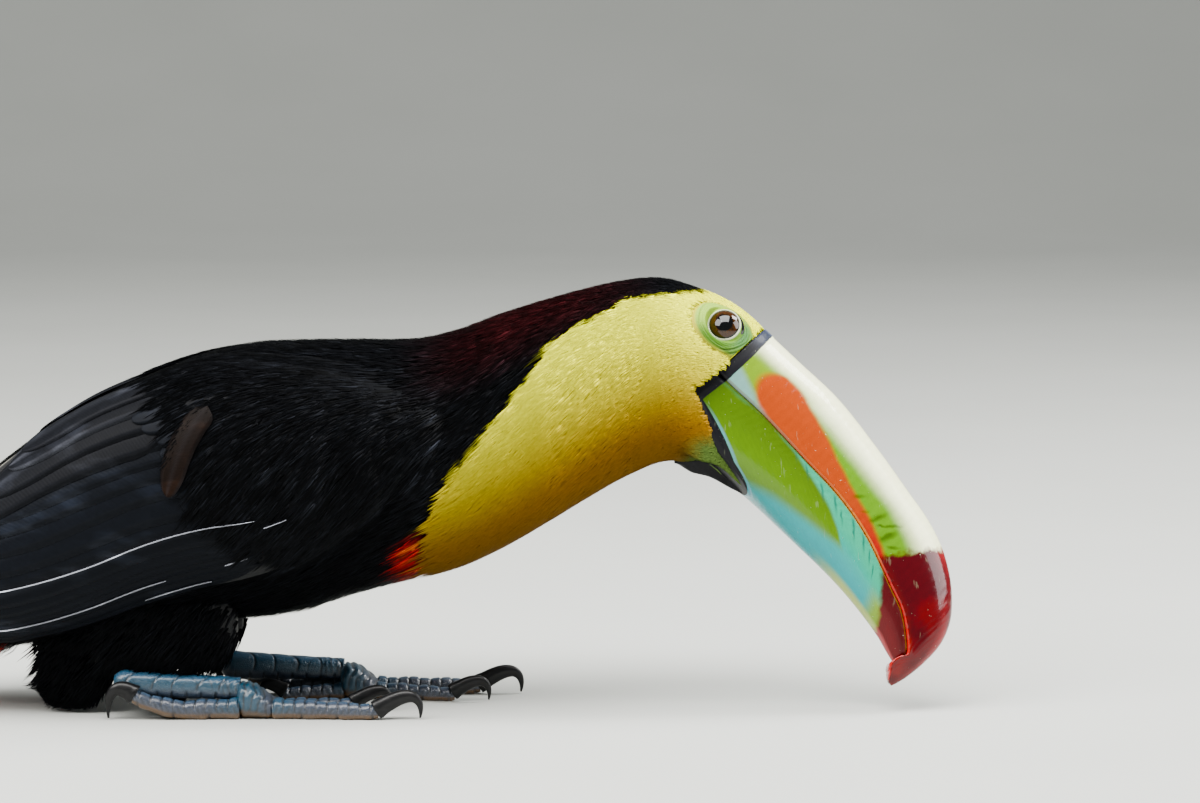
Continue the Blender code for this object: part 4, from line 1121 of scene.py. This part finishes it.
def coat(name, x, angle, length, width, drift, lift, paint, keep, shade=0.12, barbs=6, spread=0.42,
         root_shade_tone=0.86, ground=None, loose=0.07, uneven=0.6, tall=0.16):
    """Tufts rooted at x, angle: each barb runs back over the body and drifts round it.

    Its height over the outline goes from the skin (-depth) to lift along s^0.65; where ground
    is given, both stand on its height over the outline, as on the folded wing.
    """
    x, angle, length, width, drift, lift = (v[keep] for v in (x, angle, length, width, drift, lift))
    n = len(x)
    f = (np.arange(barbs) - (barbs - 1) / 2) / barbs
    fan = f[None] * spread + draw.normal(0, loose, (n, barbs)) + drift[:, None]
    long = length[:, None] * (1 - 0.55 * np.abs(f)[None]) * draw.uniform(0.78, 1.15, (n, barbs))
    s = np.linspace(0, 1, 3)[None, None]
    girth = (smooth(BODY, x, 1) - smooth(BODY, x, 2)) / 4 + smooth(BODY, x, 3) / 2
    turn = fan[..., None]
    xx = x[:, None, None] - long[..., None] * s * np.cos(turn)
    aa = (angle[:, None, None] + f[None, :, None] * (0.9 * width * barbs / girth)[:, None, None]
          - long[..., None] * s * np.sin(turn) / girth[:, None, None])
    deep = smooth(COAT, x, 1) * (1.0 if ground is None else 0.4)
    rise = lift[:, None] * draw.uniform(1 - uneven, 1 + uneven, (n, barbs))
    h = -deep[:, None, None] - 0.1 + (deep[:, None] + 0.1 + rise)[..., None] * s**0.65
    if ground is not None:
        h = h + ground(xx, aa)
    path = body(xx, aa, h)
    off = body(xx, aa + 0.004, h) - path
    w = width[:, None, None] * (1 - 0.35 * s) * np.ones((n, barbs, 1))
    base = plumage(body(x, angle))[0]
    worn = np.exp(draw.normal(0, shade, (n, 1, 1, 1)) + draw.normal(0, shade, (n, barbs, 1, 1)))
    # each barb darker toward its root, where the tufts lie under one another: partly the feathers' own
    # darker bases, partly painted shade
    tint = base[:, None, None] * worn * (root_shade_tone + (1.05 - root_shade_tone) * s)[..., None]
    uv = np.repeat(unwrap(x, angle), barbs, 0)
    k = s.shape[-1]
    piece = plume_mesh(name, path.reshape(-1, k, 3), off.reshape(-1, k, 3), w.reshape(-1, k),
                       tint.reshape(-1, k, 3), uv, tall)
    piece.data.materials.append(paint)
    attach(piece, "root")
    return piece


def feather_paint(name, rough, gloss):
    """Matt keratin in each point's own tint, streaked fine and unevenly dull."""
    paint = Paint(name, Roughness=rough, Specular_IOR_Level=gloss)
    streak = paint.noise(1400.0, 2.0)
    return paint.set(Base_Color=paint.tone(paint.colour("tint"), 0.80 + streak * 0.4),
                     Roughness=rough - 0.08 + streak * 0.16)


yellow_paint = feather_paint("yellow_feather", 0.70, 0.04)
black_paint = feather_paint("black_feather", 0.50, 0.035)


def horn_edge(p):
    """x of the rear edge of the bill's horn, carried on over the forehead, beside points p."""
    return hairline(p[..., 2], edge_x(p[..., 2]))


def clear_of_face(x, angle, grown=0.0):
    """False where the bare skin round an eye or the horn of the bill is."""
    p = body(x, angle)
    off = from_eye(p)
    ahead, up = (off * eye_ahead).sum(-1) + LID_BACK, (off * eye_up).sum(-1) + LID_DOWN
    reach = lid_reach(np.arctan2(up, ahead)) + grown
    return (np.hypot(ahead, up) > reach - 0.9) & (x < horn_edge(p) + 0.6)


def face_length(x):
    """Length of the yellow feathers, straight between a few places along the neck and head."""
    return np.interp(x, [45, 60, 80, 100, 120, 140, 155, 172], [11.5, 10.5, 9.0, 7.2, 5.4, 3.9, 2.7, 2.1])


for name, span, count, side in (("face_feathers_right", (126, 174), 2650, math.pi / 2),
                                ("face_feathers_left", (126, 174), 2500, -math.pi / 2),
                                ("cheek_feathers", (88, 132), 3150, None),
                                ("bib_feathers", (44, 94), 3000, None)):
    around = (0, 2 * math.pi) if side is None else (side, side + math.pi)
    x, angle = scattered(count * 3, *span, face_length, *around)
    # roots next to the horn line up along its edge
    ahead = horn_edge(body(x, angle)) - x
    x = x + np.where(np.abs(ahead) < 1.3, ahead - draw.uniform(-0.5, 0.3, len(x)), 0)
    inside = plumage(body(x, angle))[1]
    reach = plumage(body(x - 0.8 * face_length(x), angle))[1]
    keep = (inside > draw.normal(0.4, 0.5, len(x))) & clear_of_face(x, angle)
    keep[np.flatnonzero(keep)[count:]] = False
    short = np.where(reach > draw.normal(0.0, 1.4, len(x)), 1.0, draw.uniform(0.35, 0.7, len(x)))
    long = face_length(x) * draw.uniform(0.85, 1.2, len(x)) * short
    loose = np.exp(-((reach / 4.0) ** 2)) * (short == 1.0)
    coat(name, x, angle, long * (1.05 + 0.35 * loose), long * 0.055 + 0.32, 0.26 * np.cos(angle),
         0.05 + 0.035 * long * loose + 0.004 * long, yellow_paint, keep, shade=0.035, spread=0.22,
         loose=0.035, root_shade_tone=0.95, uneven=0.25, tall=0.10)

# ---------------------------------------------------------------- black plumage
# Crown, nape, mantle, breast, belly, rump and undertail: soft black feathers with a blue-green
# gloss, maroon on the nape, a narrow scarlet band under the bib, a white rump, scarlet undertail.
def body_length(x):
    """Length of the black feathers, straight between a few places along the body."""
    return np.interp(x, [-150, -110, -60, 0, 45, 70, 100, 130, 160], [13, 14, 15, 15, 13, 11, 9, 6.5, 4.5])


def under_wing(x, angle):
    """True where a folded wing lies over the body, well inside its edges."""
    a = np.degrees(np.abs(np.arctan2(np.sin(angle), np.abs(np.cos(angle)))) * np.sign(np.sin(angle)))
    upper, lower = smooth(WING, x, 1), smooth(WING, x, 2)
    return (x > -140) & (x < 38) & (a < upper - 9) & (a > lower + 7)


for name, span, count, low, high in (
        ("nape_feathers", (66, 162), 3000, 0, 2 * math.pi),
        ("breast_feathers", (0, 70), 3000, 0, 2 * math.pi),
        ("mantle_feathers", (-147, 4), 2100, 0.15, math.pi - 0.15),
        ("belly_feathers", (-147, 4), 2100, math.pi + 0.15, 2 * math.pi - 0.15)):
    x, angle = scattered(count * 3, *span, body_length, low, high)
    inside = plumage(body(x, angle))[1]
    keep = (inside < draw.normal(0.2, 0.7, len(x))) & clear_of_face(x, angle, 1.0) & ~under_wing(x, angle)
    keep[np.flatnonzero(keep)[count:]] = False
    long = body_length(x) * draw.uniform(0.8, 1.2, len(x))
    ruffle = np.where((np.sin(angle) < -0.2) & (x < 20), 0.9, 0.25) * (1 - 0.7 * ease((x - 142) / 10))
    ruffle = ruffle + 6.0 * ease((-92 - x) / 8) * ease((-np.sin(angle) - 0.55) / 0.2)
    coat(name, x, angle, long, long * 0.045 + 0.28, 0.30 * np.cos(angle) * (x > -20),
         0.10 + ruffle * draw.uniform(0.2, 1.0, len(x)), black_paint, keep, shade=0.45, spread=0.26,
         root_shade_tone=0.6, barbs=5, loose=0.045)

# ---------------------------------------------------------------- thigh feathers
# Shaggy trousers of loose black feathers that hang down and back over the ankles. They are rooted
# all round each thigh, and their tips stand away from one another along its lower edge.
for side, name in ((-1, "right"), (1, "left")):
    n, barbs = 1300, 5
    x = draw.uniform(-88, -18, n)
    a = np.where(np.arange(n) % 3 > 0, draw.uniform(-1.25, 0.95, n), draw.uniform(-math.pi, math.pi, n))
    low, cap, y0, y1 = (smooth(THIGH, x, k) for k in range(1, 5))
    across, tall = (y1 - y0) / 2 - 1.3, (cap + 6 - low) / 2
    root = np.stack([x, side * ((y0 + y1) / 2 + across * power(np.cos(a), 0.75)),
                     low + 2 + tall + tall * power(np.sin(a), 0.75)], -1)
    away = unit(np.stack([0 * x, side * np.cos(a), np.sin(a)], -1))
    f = (np.arange(barbs) - 2) / barbs
    hang = np.stack([-0.62 + draw.normal(0, 0.14, (n, barbs)) + 0.35 * f, draw.normal(0, 0.10, (n, barbs)),
                     -0.80 + 0 * f + 0 * x[:, None]], -1)
    long = draw.uniform(7.5, 12.0, (n, 1, 1, 1)) * (1 - 0.4 * np.abs(f)[None, :, None, None])
    s = np.linspace(0, 1, 3)[None, None, :, None]
    path = (root[:, None, None] - away[:, None, None] * 0.2 + hang[:, :, None] * long * s
            + away[:, None, None] * draw.uniform(1.2, 2.4, (n, barbs, 1, 1)) * s**0.5)
    path[..., 0] += 1.1 * f[None, :, None]
    # tips that would pass the thigh's lower edge end in a ragged line a few millimetres under it
    floor_z = smooth(THIGH, path[..., 0], 1) - draw.uniform(2.6, 6.2, (n, barbs, 1))
    path[..., 2] = np.maximum(path[..., 2], np.maximum(floor_z, 0.8))
    off = np.zeros_like(path) + np.array((1.0, 0, 0.3))
    shade = np.exp(draw.normal(0, 0.4, (n, barbs, 1, 1))) * (0.5 + 0.6 * s)
    width = np.broadcast_to(0.75 * (1 - 0.35 * s[..., 0]), (n, barbs, 3))
    uv = np.repeat(unwrap(x, np.full(n, -math.pi / 2 + side * 0.5)), barbs, 0)
    piece = plume_mesh("thigh_feathers_" + name, path.reshape(-1, 3, 3), off.reshape(-1, 3, 3),
                       width.reshape(-1, 3), (shade * np.array(BLACK)).reshape(-1, 3, 3), uv)
    piece.data.materials.append(black_paint)
    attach(piece, "root")

# ---------------------------------------------------------------- folded wings
# Stiff flight feathers closed like a fan along each flank, under broad tertials, with two rows of
# coverts over their roots: thin horny vanes on shafts, black with a blue gloss, greyer where worn.
WING_SPAN = 75.0                # distance round the body that stands for the wing's whole depth


def folded(x, q, out):
    """Right wing at x and q / 75 of the way down it, out above its thin lens-shaped section."""
    v = np.clip(q / WING_SPAN, -0.02, 1.03)
    lens = np.sqrt(np.clip(1 - (2 * v - 1) ** 4, 0, 1))
    return wing_place(x, v, WING_GAP + 0.5 + (smooth(WING, x, 3) - 0.5) * lens + out)


def vanes(rows, place, rise, ends=0.30):
    """Closed thin vanes. Rows: root u, v, tip u, v, half-width, layer, sag, tint, painted edge highlight.

    A vane is a loop of twelve points round a flat section, carried from root to tip over the
    surface place(u, v, out). It is tilted across so that each laps over the next, hollowed along
    its shaft, and its outline runs as w (s / 0.12)^0.5 at the root and as an ellipse at the tip.
    """
    r = np.array([row[:7] + (row[8],) for row in rows], float)
    tone = np.array([row[7] for row in rows], float)
    s = np.concatenate([np.linspace(0, 0.9, 19), 0.9 + 0.1 * np.sin(np.linspace(0, math.pi / 2, 7)[1:])])
    c = np.array([-1, -0.66, -0.33, 0, 0.33, 0.66, 1, 0.66, 0.33, 0, -0.33, -0.66])
    under = np.array([0] * 7 + [1] * 5)
    n = len(r)
    u0, v0, u1, v1, wide, layer, sag, edge_highlight = (r[:, k, None, None] for k in range(8))
    long = np.hypot(u1 - u0, v1 - v0)
    du, dv = (u1 - u0) / long, (v1 - v0) / long
    ss, cc = s[None, :, None], c[None, None]
    tip = np.sqrt(np.clip(1 - np.clip((ss - 1 + ends) / ends, 0, 1) ** 2, 0, 1))
    w = wide * np.clip(ss / 0.12, 0, 1) ** 0.5 * tip * (1 - 0.02 * draw.random((n, len(s), 1))) + 0.02
    bow = sag * np.sin(math.pi * ss)
    u = u0 + (u1 - u0) * ss - dv * (w * cc + bow)
    v = v0 + (v1 - v0) * ss + du * (w * cc + bow)
    thin = under[None, None] * (0.30 - 0.14 * ss)
    shaft = 0.16 * np.exp(-((cc / 0.12) ** 2)) * (1 - under) * (1 - ss)
    tilt = 0.26 * cc * np.clip(1.3 - ss * 0.3, 0, 1)
    out = layer + rise * ss - tilt + 0.22 * (1 - cc**2) - thin + shaft
    p = place(u, v, out)
    streak = 1 + 0.10 * np.sin(ss * 90 + np.abs(cc) * 7 + layer * 9)
    tint = tone[:, None, None] * (streak * (0.75 + 0.35 * ss))[..., None]
    # edges and shaft made paler: painted highlight
    lit = edge_highlight * (np.abs(cc) > 0.9) * (0.4 + 0.6 * ss) + edge_highlight * 0.5 * (np.abs(cc) < 0.05) * (1 - under)
    tint = tint + lit[..., None] * np.array((0.020, 0.021, 0.026))
    k, m = len(s), len(c)
    per = k * m + 2
    verts = np.concatenate([p.reshape(n, -1, 3), p[:, 0].mean(1)[:, None], p[:, -1].mean(1)[:, None]], 1)
    shade = np.concatenate([tint.reshape(n, -1, 3), tint[:, 0, :1], tint[:, -1, :1]], 1)
    quads, root_cap, tip_cap = tube(p[0])[1]
    base = (np.arange(n) * per)[:, None, None]
    faces = [(quads[None] + base).reshape(-1, 4),
             (np.concatenate([root_cap, tip_cap])[None] + base).reshape(-1, 3)]
    across = np.concatenate([np.tile((c + 1) / 2, k), [0.5, 0.5]])
    down = np.concatenate([np.repeat(s, m), [0, 1]])
    patch = np.stack(np.broadcast_arrays(across, down), -1)[None].repeat(n, 0)
    return verts, faces, shade, patch, r


def vane_piece(name, parts, side, paint, root_uv, node=None):
    """Join vane sets into one piece on one side of the bird, with its two maps."""
    points, faces, tints, patches, spots, start = [], [], [], [], [], 0
    for verts, own_faces, shade, patch, r in parts:
        n, per = verts.shape[:2]
        points.append(verts.reshape(-1, 3) * (1, side, 1))
        faces += [f + start for f in own_faces]
        tints.append(shade.reshape(-1, 3))
        patches.append(patch.reshape(-1, 2))
        spots.append((root_uv(r[:, 0], r[:, 1])[:, None] + patch * PATCH).reshape(-1, 2))
        start += n * per
    piece = mesh_of(name, np.concatenate(points), faces,
                    {"OFBake": np.concatenate(spots), "vane": np.concatenate(patches)},
                    {"tint": np.concatenate(tints)}, outward=True)
    piece.data.materials.append(paint)
    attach(piece, "root")
    if node:
        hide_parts(node)


paint = Paint("flight_feather", Roughness=0.42, Specular_IOR_Level=0.045)
u, s = paint.uv("vane")
barb = (s * 420.0 + (u - 0.5).abs() * 70.0).sin() * 0.5 + 0.5
dust = paint.noise(600.0, 3.0)
# lighter, glossier streaks: painted sheen in the colour, and real gloss in the roughness
smear_and_sheen = paint.noise(110.0, 4.0, stretch=(0.35, 1, 1)).step(0.50, 0.78)
flight_paint = paint.set(Base_Color=paint.tone(paint.colour("tint"), 0.65 + dust * 0.5 + smear_and_sheen * 2.4),
                         Normal=paint.bump(barb * 0.4 + dust * 0.5 + smear_and_sheen * 2.0, 0.00006),
                         Roughness=0.46 + dust * 0.14 - smear_and_sheen * 0.16)

BLUE_BLACK, GREY_BLACK, BROWN = (0.0026, 0.0034, 0.0055), (0.0036, 0.0040, 0.0056), (0.0036, 0.0016, 0.0009)
PALE_SHAFT_GLINT = (0.26, 0.27, 0.31)


def wing_rows():
    """Rows of the folded wing from the lowest layer up, in the terms of vanes, v as q in mm."""
    primaries = [(-8, 66.5 - 2.3 * i, -141 + 2.6 * i, 65.5 - 2.9 * i, 4.8, -0.80 + 0.10 * i, 0.0,
                  BLUE_BLACK, 0.4) for i in range(7)]
    secondaries = [(2 - 2 * j, 48.5 - 4.3 * j, -123 + 3 * j, 40.5 - 3.8 * j, 6.4, -0.15 + 0.10 * j, 0.5,
                    BLUE_BLACK, 0.4) for j in range(7)]
    tertials = [(-40 + 2 * k, 24 - 6.0 * k, -117 + 8 * k, 20.5 - 4.6 * k, 8.0, 0.55 + 0.13 * k, 1.5,
                 GREY_BLACK, 0.5 + 1.6 * (k == 2)) for k in range(4)]
    greater = [(-2 - 3 * k, 49 - 4.4 * k, -34 - 2.4 * k, 49.5 - 4.4 * k, 4.3, 0.08 + 0.10 * k, 0.4,
                BLUE_BLACK, 0.2) for k in range(8)]
    median = [(14 - 3.4 * k, 50 - 4.6 * k, -14 - 3.4 * k, 51 - 4.6 * k, 4.2, 0.25 + 0.08 * k, 0.4,
               BLACK, 0.1) for k in range(8)]
    # narrow pale lines along shafts and feather edges: painted glints
    shaft_glints = [(-10, 51.7, -121, 45.0, 0.10, 1.45, -2.1, PALE_SHAFT_GLINT, 0.0),
              (-42, 64.0, -119, 61.5, 0.08, 0.05, 0.0, PALE_SHAFT_GLINT, 0.0),
              (-26, 69.1, -50, 68.6, 0.05, -0.08, 0.0, PALE_SHAFT_GLINT, 0.0),
              (-13, 62.8, -21, 63.5, 0.09, 0.75, 0.0, PALE_SHAFT_GLINT, 0.0),
              (1, 53.8, -7, 54.2, 0.05, 1.60, 0.0, PALE_SHAFT_GLINT, 0.0)]
    worn = [(-26.5, 21.0, -42.5, 42.5, 5.0, 1.40, 1.6, BROWN, 0.2)]
    return primaries + secondaries + tertials + greater + median + shaft_glints + worn


for side, name in ((1, "right"), (-1, "left")):
    rows = wing_rows()
    # every vane strays a little, but not the narrow pale lines of painted glint along the shafts
    wander = draw.normal(0, 1, (len(rows), 4)) * (0.4, 0.3, 1.2, 0.4)
    rows = [tuple(np.add(row[:4], w * (row[4] > 1))) + row[4:] for row, w in zip(rows, wander)]
    vane_piece("wing_feathers_" + name, [vanes(rows, folded, 0.30)], side, flight_paint,
               lambda x, q: unwrap(x, math.pi - 1.1 + q / 40), "wing_" + name)

# ---------------------------------------------------------------- shoulder feathers
# Silky black scapulars and lesser coverts that flow from the shoulder down over the front and
# upper part of the folded wing and hide the roots of its stiff feathers.
def over_wing(x, angle):
    """Height of the folded wing's feathers over the body's outline, eased to none at its edges."""
    a = np.degrees(np.arcsin(np.clip(np.sin(angle), -1, 1)))
    v = (smooth(WING, x, 1) - a) / (smooth(WING, x, 1) - smooth(WING, x, 2))
    inside = ease((v + 0.26) / 0.30) * ease((1.06 - v) / 0.10) * ease((62 - x) / 34)
    lens = np.sqrt(np.clip(1 - (2 * np.clip(v, 0, 1) - 1) ** 4, 0, 1))
    return inside * (WING_GAP + 0.2 + (smooth(WING, x, 3) - 0.5) * lens + 1.7 * ease((26 - x) / 16))


# how far back the soft feathers reach over the wing: z, x
SOFT_LIMIT = np.array([(56, 10), (66, 0), (74, -14), (84, -26), (94, -30), (107, -32), (118, -42),
                       (130, -60)])
for side, name in ((1, "right"), (-1, "left")):
    middle = math.pi if side > 0 else 0.0
    x, angle = scattered(4600, -62, 58, lambda x: 11.0 + 0 * x, middle - 1.40, middle + 0.75)
    angle = angle * side
    z = body(x, angle)[..., 2]
    a = np.degrees(np.arcsin(np.clip(np.sin(angle), -1, 1)))
    keep = (x > np.interp(z, SOFT_LIMIT[:, 0], SOFT_LIMIT[:, 1]) + draw.normal(0, 2.2, len(x)))
    keep &= (a < smooth(WING, x, 1) + 12) & (a > smooth(WING, x, 2) - 4)
    keep[np.flatnonzero(keep)[1650:]] = False
    long = draw.uniform(12.0, 17.0, len(x))
    drift = 0.60 * np.cos(angle) * ease((128 - z) / 30)
    coat("shoulder_feathers_" + name, x, angle, long, long * 0.045 + 0.34, drift,
         draw.uniform(0.1, 0.4, len(x)), black_paint, keep, shade=0.5, spread=0.24, root_shade_tone=0.6,
         barbs=5, ground=over_wing, loose=0.04, uneven=0.35)

# ---------------------------------------------------------------- tail
# Ten blunt black tail feathers in a shallow fan, the middle pair on top. A smooth closed core,
# oval in section, fills the fan under them from the rump to near the tips.
TAIL = np.array([               # x, half-width, middle's height, thickness
    (-145.3, 17.5, 43.6, 5.6), (-158, 20, 39.6, 4.6), (-175, 22.5, 34.3, 3.5), (-195, 25, 28.2, 2.6),
    (-215, 26.8, 22.4, 2.0), (-228, 25.5, 18.8, 1.6), (-235, 20, 16.9, 1.3), (-238.3, 12, 16, 1.1)])


def tail_place(face):
    """The surface on which the vanes of the upper (1) or lower (-1) face lie."""
    def place(x, y, out):
        """z = middle + face (thickness (1 - (y / w)^2)^0.5 + out / 2)."""
        half, mid, thick = (smooth(TAIL, x, k) for k in (1, 2, 3))
        arch = np.sqrt(np.clip(1 - (y / (half + 1.5)) ** 2, 0, 1))
        return np.stack([x, y, mid + face * ((thick - 0.6) * arch + out * 0.5)], -1)
    return place


def tail_rows(face):
    """Ten vanes in the terms of vanes, the outer ones first, so that the middle pair lies on top."""
    order = sorted([k - 0.5 for k in range(-4, 6)], key=lambda k: -abs(k))
    return [(-141.0, k * 3.4, -238 + 1.4 * abs(k) ** 1.5, k * 4.5, 6.2 - 0.25 * abs(k),
             0.1 * n * face - (0 if face > 0 else 0.2), 0.0, BLACK if face < 0 else BLUE_BLACK, 0.12)
            for n, k in enumerate(order)]


x = np.linspace(-140, -236.0, 60)[:, None]
a = turns(36)
half, mid, thick = (smooth(TAIL, x, k) for k in (1, 2, 3))
y, z = (half - 3.5) * power(np.cos(a), 0.9), mid + (thick - 0.9) * power(np.sin(a), 0.9)
verts, faces = tube(np.stack(np.broadcast_arrays(x, y, z), -1))
core = mesh_of("tail_core", verts, faces, colours={"tint": np.zeros(verts.shape) + BLACK}, outward=True)
core.data.materials.append(black_paint)
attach(core, "root")
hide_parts("tail")
vane_piece("tail_feathers", [vanes(tail_rows(face), tail_place(face), 0.0, 0.10) for face in (1, -1)], 1,
           flight_paint, lambda x, y: unwrap(x * 0 - 146, y * 0.02))

# ---------------------------------------------------------------- floor, light and camera
# A pale studio floor that rises in a curve behind the bird. Two large soft lamps stand over it and
# up behind its tail, two smaller ones ahead of the bill. A long lens looks a little down on it.
FLAT_TO, CURVE, BEND_ROWS = 2.2, 1.6, 17        # metres of flat floor behind, radius, rows of the curve
ground = bpy.data.meshes.new("floor")
bend = np.linspace(0, math.pi / 2, BEND_ROWS)[1:]
run = np.concatenate([np.linspace(-3.0, FLAT_TO, 27), FLAT_TO + CURVE * np.sin(bend)])
rise = np.concatenate([np.zeros(27), CURVE * (1 - np.cos(bend))])
across = np.linspace(-4.5, 4.5, 13)
grid = np.stack(np.broadcast_arrays(across[None], run[:, None], rise[:, None]), -1).reshape(-1, 3)
ground.from_pydata(grid.tolist(), [], grid_faces(len(run), len(across))[:, ::-1].tolist())
ground.polygons.foreach_set("use_smooth", np.ones(len(ground.polygons), bool))
floor = placed("floor", ground)
paint = Paint("pale_floor", Roughness=0.9, Specular_IOR_Level=0.15)
mottle = paint.noise(6.0, 4.0)
floor.data.materials.append(paint.set(Base_Color=paint.mix(mottle, (0.39, 0.40, 0.38), (0.43, 0.44, 0.42))))

world = bpy.data.worlds.new("studio")
world.use_nodes = True
backdrop = world.node_tree.nodes["Background"]
backdrop.inputs["Color"].default_value = (0.86, 0.92, 0.90, 1)
backdrop.inputs["Strength"].default_value = 0.30
bpy.context.scene.world = world


def lamp(name, place, aim, size, watts, colour):
    """A square soft box at place, turned to face aim."""
    light = bpy.data.lights.new(name, "AREA")
    light.shape, light.size, light.energy, light.color = "SQUARE", size, watts, colour
    ob = placed(name, light)
    ob.location = place
    ob.rotation_euler = (Vector(aim) - Vector(place)).to_track_quat("-Z", "Y").to_euler()


middle = (0.10, 0.0, 0.10)
lamp("overhead", (0.12, -0.40, 1.55), middle, 1.3, 90.0, (1.0, 0.99, 0.96))
lamp("key", (-1.05, -0.75, 1.30), middle, 1.2, 66.0, (1.0, 0.98, 0.95))
lamp("ridge", (1.15, 0.40, 1.25), (0.19, 0.0, 0.09), 0.55, 34.0, (1.0, 1.0, 0.98))
lamp("front", (1.40, -0.12, 0.62), (0.22, 0.0, 0.05), 0.8, 22.0, (1.0, 1.0, 1.0))

CAMERA_AIM = Vector((0.1112, 0.0, 0.1107))
CAMERA_RISE = math.radians(6.0)
CAMERA_FAR = 1.8
view = bpy.data.cameras.new("camera")
view.lens, view.sensor_width = 150.0, 36.0
view.clip_end = 50.0
camera = placed("camera", view)
camera.location = CAMERA_AIM + CAMERA_FAR * Vector((0, -math.cos(CAMERA_RISE), math.sin(CAMERA_RISE)))
camera.rotation_euler = (math.pi / 2 - CAMERA_RISE, 0, 0)
bpy.context.scene.camera = camera
